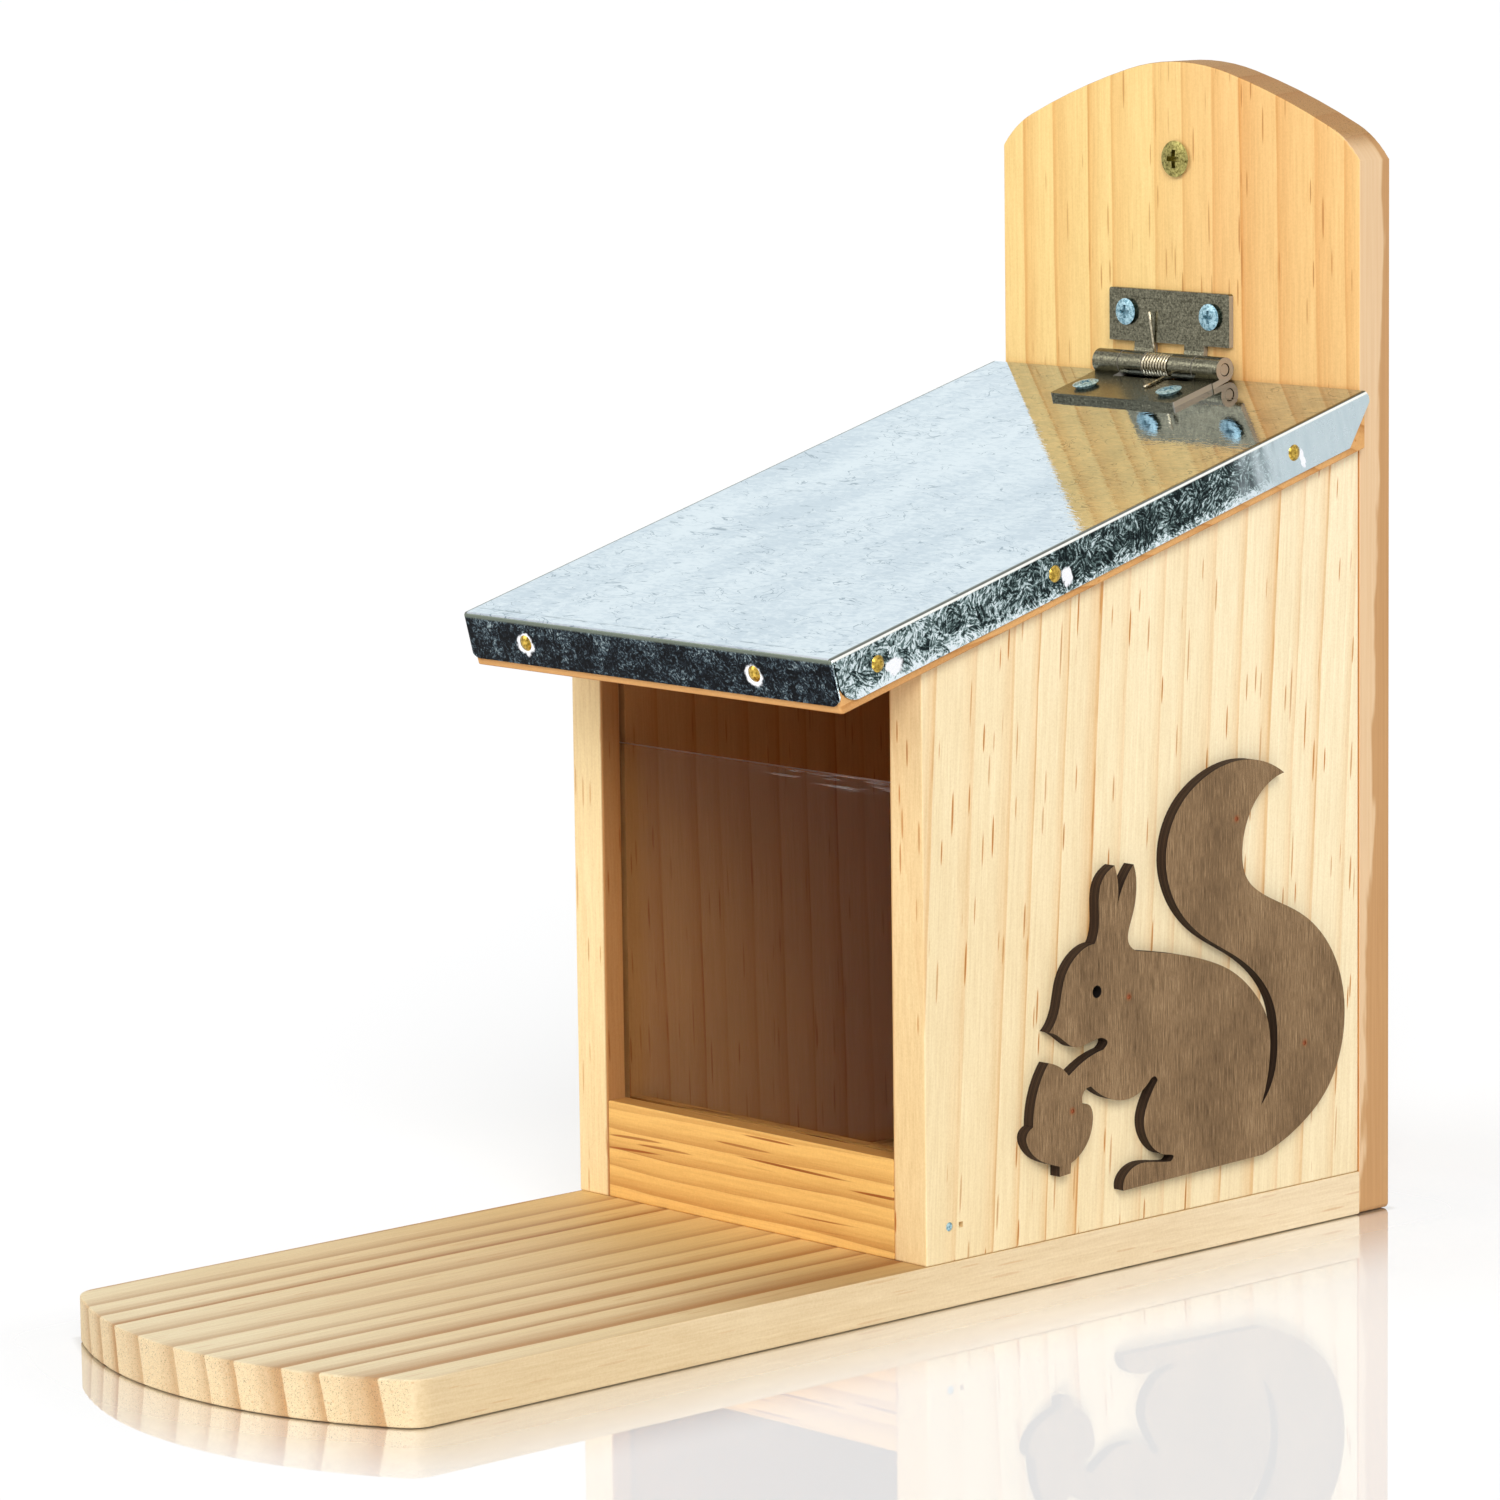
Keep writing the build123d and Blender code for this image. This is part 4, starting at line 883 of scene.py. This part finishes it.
def spring_line():
    """The middle of the wire, from the tip of one leg to the tip of the other."""
    hinge = next(joint for joint in frame["joints"] if joint["name"] == "lid_hinge")
    pin = Vector(hinge["pos_m"])
    low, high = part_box("hinge_spring")
    start, end = low.x + WIRE / 2, high.x - WIRE / 2
    first = -WALL_LEG_LEAN
    swept = 2 * math.pi * SPRING_TURNS + math.radians(90) - PITCH + LID_LEG_RISE - first
    climb = (end - start) / swept

    def point(turned):
        angle = first + turned
        y = pin.y + SPRING_RADIUS * math.cos(angle)
        z = pin.z - SPRING_RADIUS * math.sin(angle)
        return Vector((start + climb * turned, y, z))

    def way(turned):
        angle = first + turned
        y, z = -SPRING_RADIUS * math.sin(angle), -SPRING_RADIUS * math.cos(angle)
        return Vector((climb, y, z)).normalized()

    line = [point(0) - way(0) * WALL_LEG * share for share in (1.0, 0.75, 0.5, 0.25)]
    steps = round(TURN_STEPS * swept / (2 * math.pi))
    line += [point(swept * step / steps) for step in range(steps + 1)]
    leave, leg_way, last = way(swept), -SLOPE, line[-1]
    line += [last + leave * LID_LEG_CLIMB * share for share in (0.4, 0.8)]
    corner = last + leave * LID_LEG_CLIMB
    reach = LID_LEG_BEND * math.tan(LID_LEG_RISE / 2)
    middle, bend_end = corner + leave * reach, corner + (leave + leg_way) * reach
    for step in range(BEND_STEPS + 1):
        share = step / BEND_STEPS
        line.append(corner.lerp(middle, share).lerp(middle.lerp(bend_end, share), share))
    line += [bend_end + leg_way * LID_LEG * share for share in (0.35, 0.7, 1.0)]
    return line


def tube(name, line, radius, sides):
    """A closed tube with rounded ends along a line of points."""
    made = bmesh.new()
    up = Vector((1, 0, 0))
    rings = []
    for index, centre in enumerate(line):
        before = line[max(index - 1, 0)]
        after = line[min(index + 1, len(line) - 1)]
        ahead = (after - before).normalized()
        up = (up - ahead * up.dot(ahead)).normalized()
        side = ahead.cross(up)
        angles = [2 * math.pi * step / sides for step in range(sides)]
        spokes = [up * math.cos(angle) + side * math.sin(angle) for angle in angles]
        rings.append([made.verts.new(centre + spoke * radius) for spoke in spokes])
    for first, second in zip(rings, rings[1:]):
        for step in range(sides):
            following = (step + 1) % sides
            made.faces.new((first[step], first[following], second[following], second[step]))
    for index, turn in ((0, 1), (len(line) - 1, -1)):
        ring = rings[index]
        inward = (line[index + turn] - line[index]).normalized()
        tip = made.verts.new(line[index] - inward * radius * TIP_ROUNDING)
        for step in range(sides):
            pair = (ring[step], ring[(step + 1) % sides])
            made.faces.new((*(pair[::-1] if turn == 1 else pair), tip))
    bmesh.ops.recalc_face_normals(made, faces=made.faces)
    mesh = bpy.data.meshes.new(name)
    made.to_mesh(mesh)
    made.free()
    mesh.shade_smooth()
    piece = bpy.data.objects.new(name, mesh)
    bpy.context.scene.collection.objects.link(piece)
    return piece


spring = tube("wound_spring", spring_line(), WIRE / 2, WIRE_SIDES)
spring.data.materials.append(spring_steel.material)
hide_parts("hinge_spring")
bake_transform(spring)


def dress_pane():
    """The clear pane, with a pinkish cut edge and a few scratches near its top."""
    m = Material("clear_sheet")
    x, _, z = m.split(m.place_mm())
    depth = m.less(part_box("window_pane")[1].z / MM, z)
    face = m.step(m.facing("Y"), 0.5, 0.8)
    scratch = m.noise(m.join(m.times(x, 0.05), 0.0, m.times(depth, 4.0)))
    scratch = m.times(m.step(scratch, 0.60, 0.66), m.step(depth, 4.5, 2.0))
    scratch = m.times(m.times(scratch, 0.7), m.step(x, -20.0, 20.0))
    clear = m.times(face, m.less(1.0, scratch))
    edge = m.mix(m.step(m.facing("X"), 0.6, 0.9), linear(206, 188, 186), linear(128, 108, 92))
    m.set(
        Base_Color=m.mix(clear, edge, linear(252, 252, 252)),
        Transmission_Weight=m.times_add(clear, 0.6, 0.4),
        Roughness=m.times_add(clear, -0.3, 0.31),
    )
    m.shader.inputs["IOR"].default_value = 1.12
    dress("window_pane", m)


EYE = Vector((69.2, 47.4, 76.3)) * MM
EYE_RADIUS = 2.4 * MM
PLYWOOD_RELIEF = 0.2 * MM


def dress_squirrel():
    """The squirrel figure: stained plywood with dark layered edges, a dark eye and rusty brads."""
    m = Material("stained_plywood")
    place_mm = m.place_mm()
    grain = m.noise(m.stretch(place_mm, (1.0, 4.5, 0.14)), detail=9.0, roughness=0.85)
    cloud = m.noise(m.stretch(place_mm, (0.0, 0.06, 0.03)), detail=3.0)
    stops = [
        (0.36, linear(48, 33, 20)),
        (0.46, linear(113, 88, 60)),
        (0.55, linear(152, 122, 88)),
        (0.66, linear(204, 174, 134)),
    ]
    face = m.ramp(m.add(grain, m.times_add(cloud, 0.16, -0.08)), stops)
    layers = m.step(m.noise(m.stretch(place_mm, (2.2, 0.0, 0.0)), detail=1.0), 0.4, 0.6)
    edge = m.mix(layers, linear(38, 26, 18), linear(66, 48, 34))
    flat = m.step(m.facing("X"), 0.6, 0.9)
    m.colour = m.mix(flat, edge, face)
    brad_tops = [
        Vector((high.x, (low.y + high.y) / 2, (low.z + high.z) / 2))
        for low, high in pieces_of("figure_brads")
    ]
    m.paint(m.times(m.near(brad_tops, 0.4 * MM, 1.5 * MM), 0.6), linear(158, 82, 40))
    eye = m.near([EYE], EYE_RADIUS, EYE_RADIUS + 0.1 * MM)
    m.paint(m.times(eye, m.less(1.0, flat)), linear(18, 12, 10))
    m.set(Roughness=0.72, Normal=m.bump(grain, PLYWOOD_RELIEF, 0.7))
    m.shader.inputs["Specular IOR Level"].default_value = 0.2
    dress("squirrel_figure", m)


dress_pane()
dress_squirrel()


# Stage
FOOT_HALF = 67.5  # mm, half the width of the boards
FOOT_BACK = BACK_BOARD_FRONT + BOARD_THICKNESS  # mm
NOSE_RADIUS = 122.0  # mm, rounding of the shelf board's front end
FLOOR_HALF = 30.0
FLOOR_DROP = 0.2 * MM
FLOOR_WHITE = (0.94, 0.94, 0.94, 1)
MIRROR_REACH = (60.0, 2.0)  # mm from the feeder, where the floor's reflection goes from faint to full
PAINTED_SHADOW_REACH = 40.0  # mm
PAINTED_CONTACT_REACH = 3.8  # mm


def distance_from_foot(m):
    """Distance in mm from the shelf board's outline, whose front end is an arc."""
    x, y, _ = m.split(m.place_mm())
    across = m.math("MINIMUM", m.absolute(x), FOOT_HALF)
    chord = m.math("SQRT", m.less(NOSE_RADIUS**2, m.times(across, across)))
    front = m.less(cad_low.y / MM + NOSE_RADIUS, chord)
    beside = m.larger(m.less(m.absolute(x), FOOT_HALF), 0.0)
    before = m.larger(m.larger(m.less(front, y), m.less(y, FOOT_BACK)), 0.0)
    return m.vector("LENGTH", m.join(beside, before, 0.0), out="Value")


def make_floor():
    """A plain white floor that keeps the lamps' soft shadow, with a painted shadow along the shelf board's
    outline and a faint reflection.
    """
    mesh = bpy.data.meshes.new("floor")
    corners = [(x * FLOOR_HALF, y * FLOOR_HALF, 0) for x, y in ((-1, -1), (1, -1), (1, 1), (-1, 1))]
    mesh.from_pydata(corners, [], [(0, 1, 2, 3)])
    floor = bpy.data.objects.new("floor", mesh)
    bpy.context.scene.collection.objects.link(floor)
    floor.location.z = -FLOOR_DROP
    m = Material("floor")
    away = distance_from_foot(m)
    # Painted shadow: near the shelf board's outline the floor is painted darker and glows less, strongly in
    # a thin line and faintly further out
    shade = m.larger(m.step(away, PAINTED_CONTACT_REACH, 0.0), m.times(m.step(away, PAINTED_SHADOW_REACH, 0.0), 0.22))
    m.set(Base_Color=m.mix(shade, FLOOR_WHITE, linear(176, 164, 140)), Roughness=0.6)
    m.shader.inputs["Specular IOR Level"].default_value = 0.0
    white = m.node("ShaderNodeEmission", {"Color": (1, 1, 1, 1), "Strength": 1.4})
    lit = m.times(m.seen(), m.times_add(shade, -0.30, 0.34))
    body = m.node("ShaderNodeMixShader", {0: lit, 1: m.shader.outputs[0], 2: white.outputs[0]})
    mirror = m.node("ShaderNodeBsdfAnisotropic", {"Color": (1, 1, 1, 1), "Roughness": 0.006})
    mirrored = m.times_add(m.step(away, *MIRROR_REACH), 0.46, 0.26)
    m.show(m.node("ShaderNodeMixShader", {0: mirrored, 1: body.outputs[0], 2: mirror.outputs[0]}))
    mesh.materials.append(m.material)


def make_world():
    """White to the eye and in reflections, and a plain soft light on the object."""
    world = bpy.data.worlds.new("studio")
    bpy.context.scene.world = world
    world.use_nodes = True
    w = Nodes(world.node_tree, "ShaderNodeOutputWorld")
    light = w.node("ShaderNodeBackground", {"Color": (0.97, 0.985, 1.0, 1), "Strength": 0.42})
    white = w.node("ShaderNodeBackground", {"Color": (1, 1, 1, 1), "Strength": 1.0})
    w.show(w.node("ShaderNodeMixShader", {0: w.seen(), 1: light.outputs[0], 2: white.outputs[0]}))


def place_light(data, direction):
    """Puts a light into the scene, turned so that it shines from the direction."""
    light = bpy.data.objects.new(data.name, data)
    bpy.context.scene.collection.objects.link(light)
    light.rotation_mode = "QUATERNION"
    light.rotation_quaternion = Vector(direction).to_track_quat("Z", "Y")
    return light


def make_sun(name, direction, strength, spread):
    """A far soft lamp that shines from a direction. Spread is in degrees."""
    data = bpy.data.lights.new(name, "SUN")
    data.energy = strength
    data.angle = math.radians(spread)
    place_light(data, direction)


def make_card(name, away, size, brightness, colour):
    """A soft card beyond the roof, which only the metal mirrors."""
    data = bpy.data.lights.new(name, "AREA")
    data.shape = "SQUARE"
    data.size = size
    data.energy = brightness * math.pi * size**2
    data.color = colour
    card = place_light(data, away)
    card.location = Vector((0, 0, SHEET_TOP)) + Vector(away)
    card.visible_diffuse = False
    card.visible_camera = False
    card.visible_transmission = False


make_floor()
make_world()
make_sun("key", (0.75, -0.55, 0.6), strength=1.95, spread=30)
make_sun("fill", (-0.45, -0.8, 0.5), strength=0.85, spread=40)
make_card("roof_card", (-1.45, 1.0, 0.92), size=0.95, brightness=0.2, colour=(0.6, 1.0, 1.0))
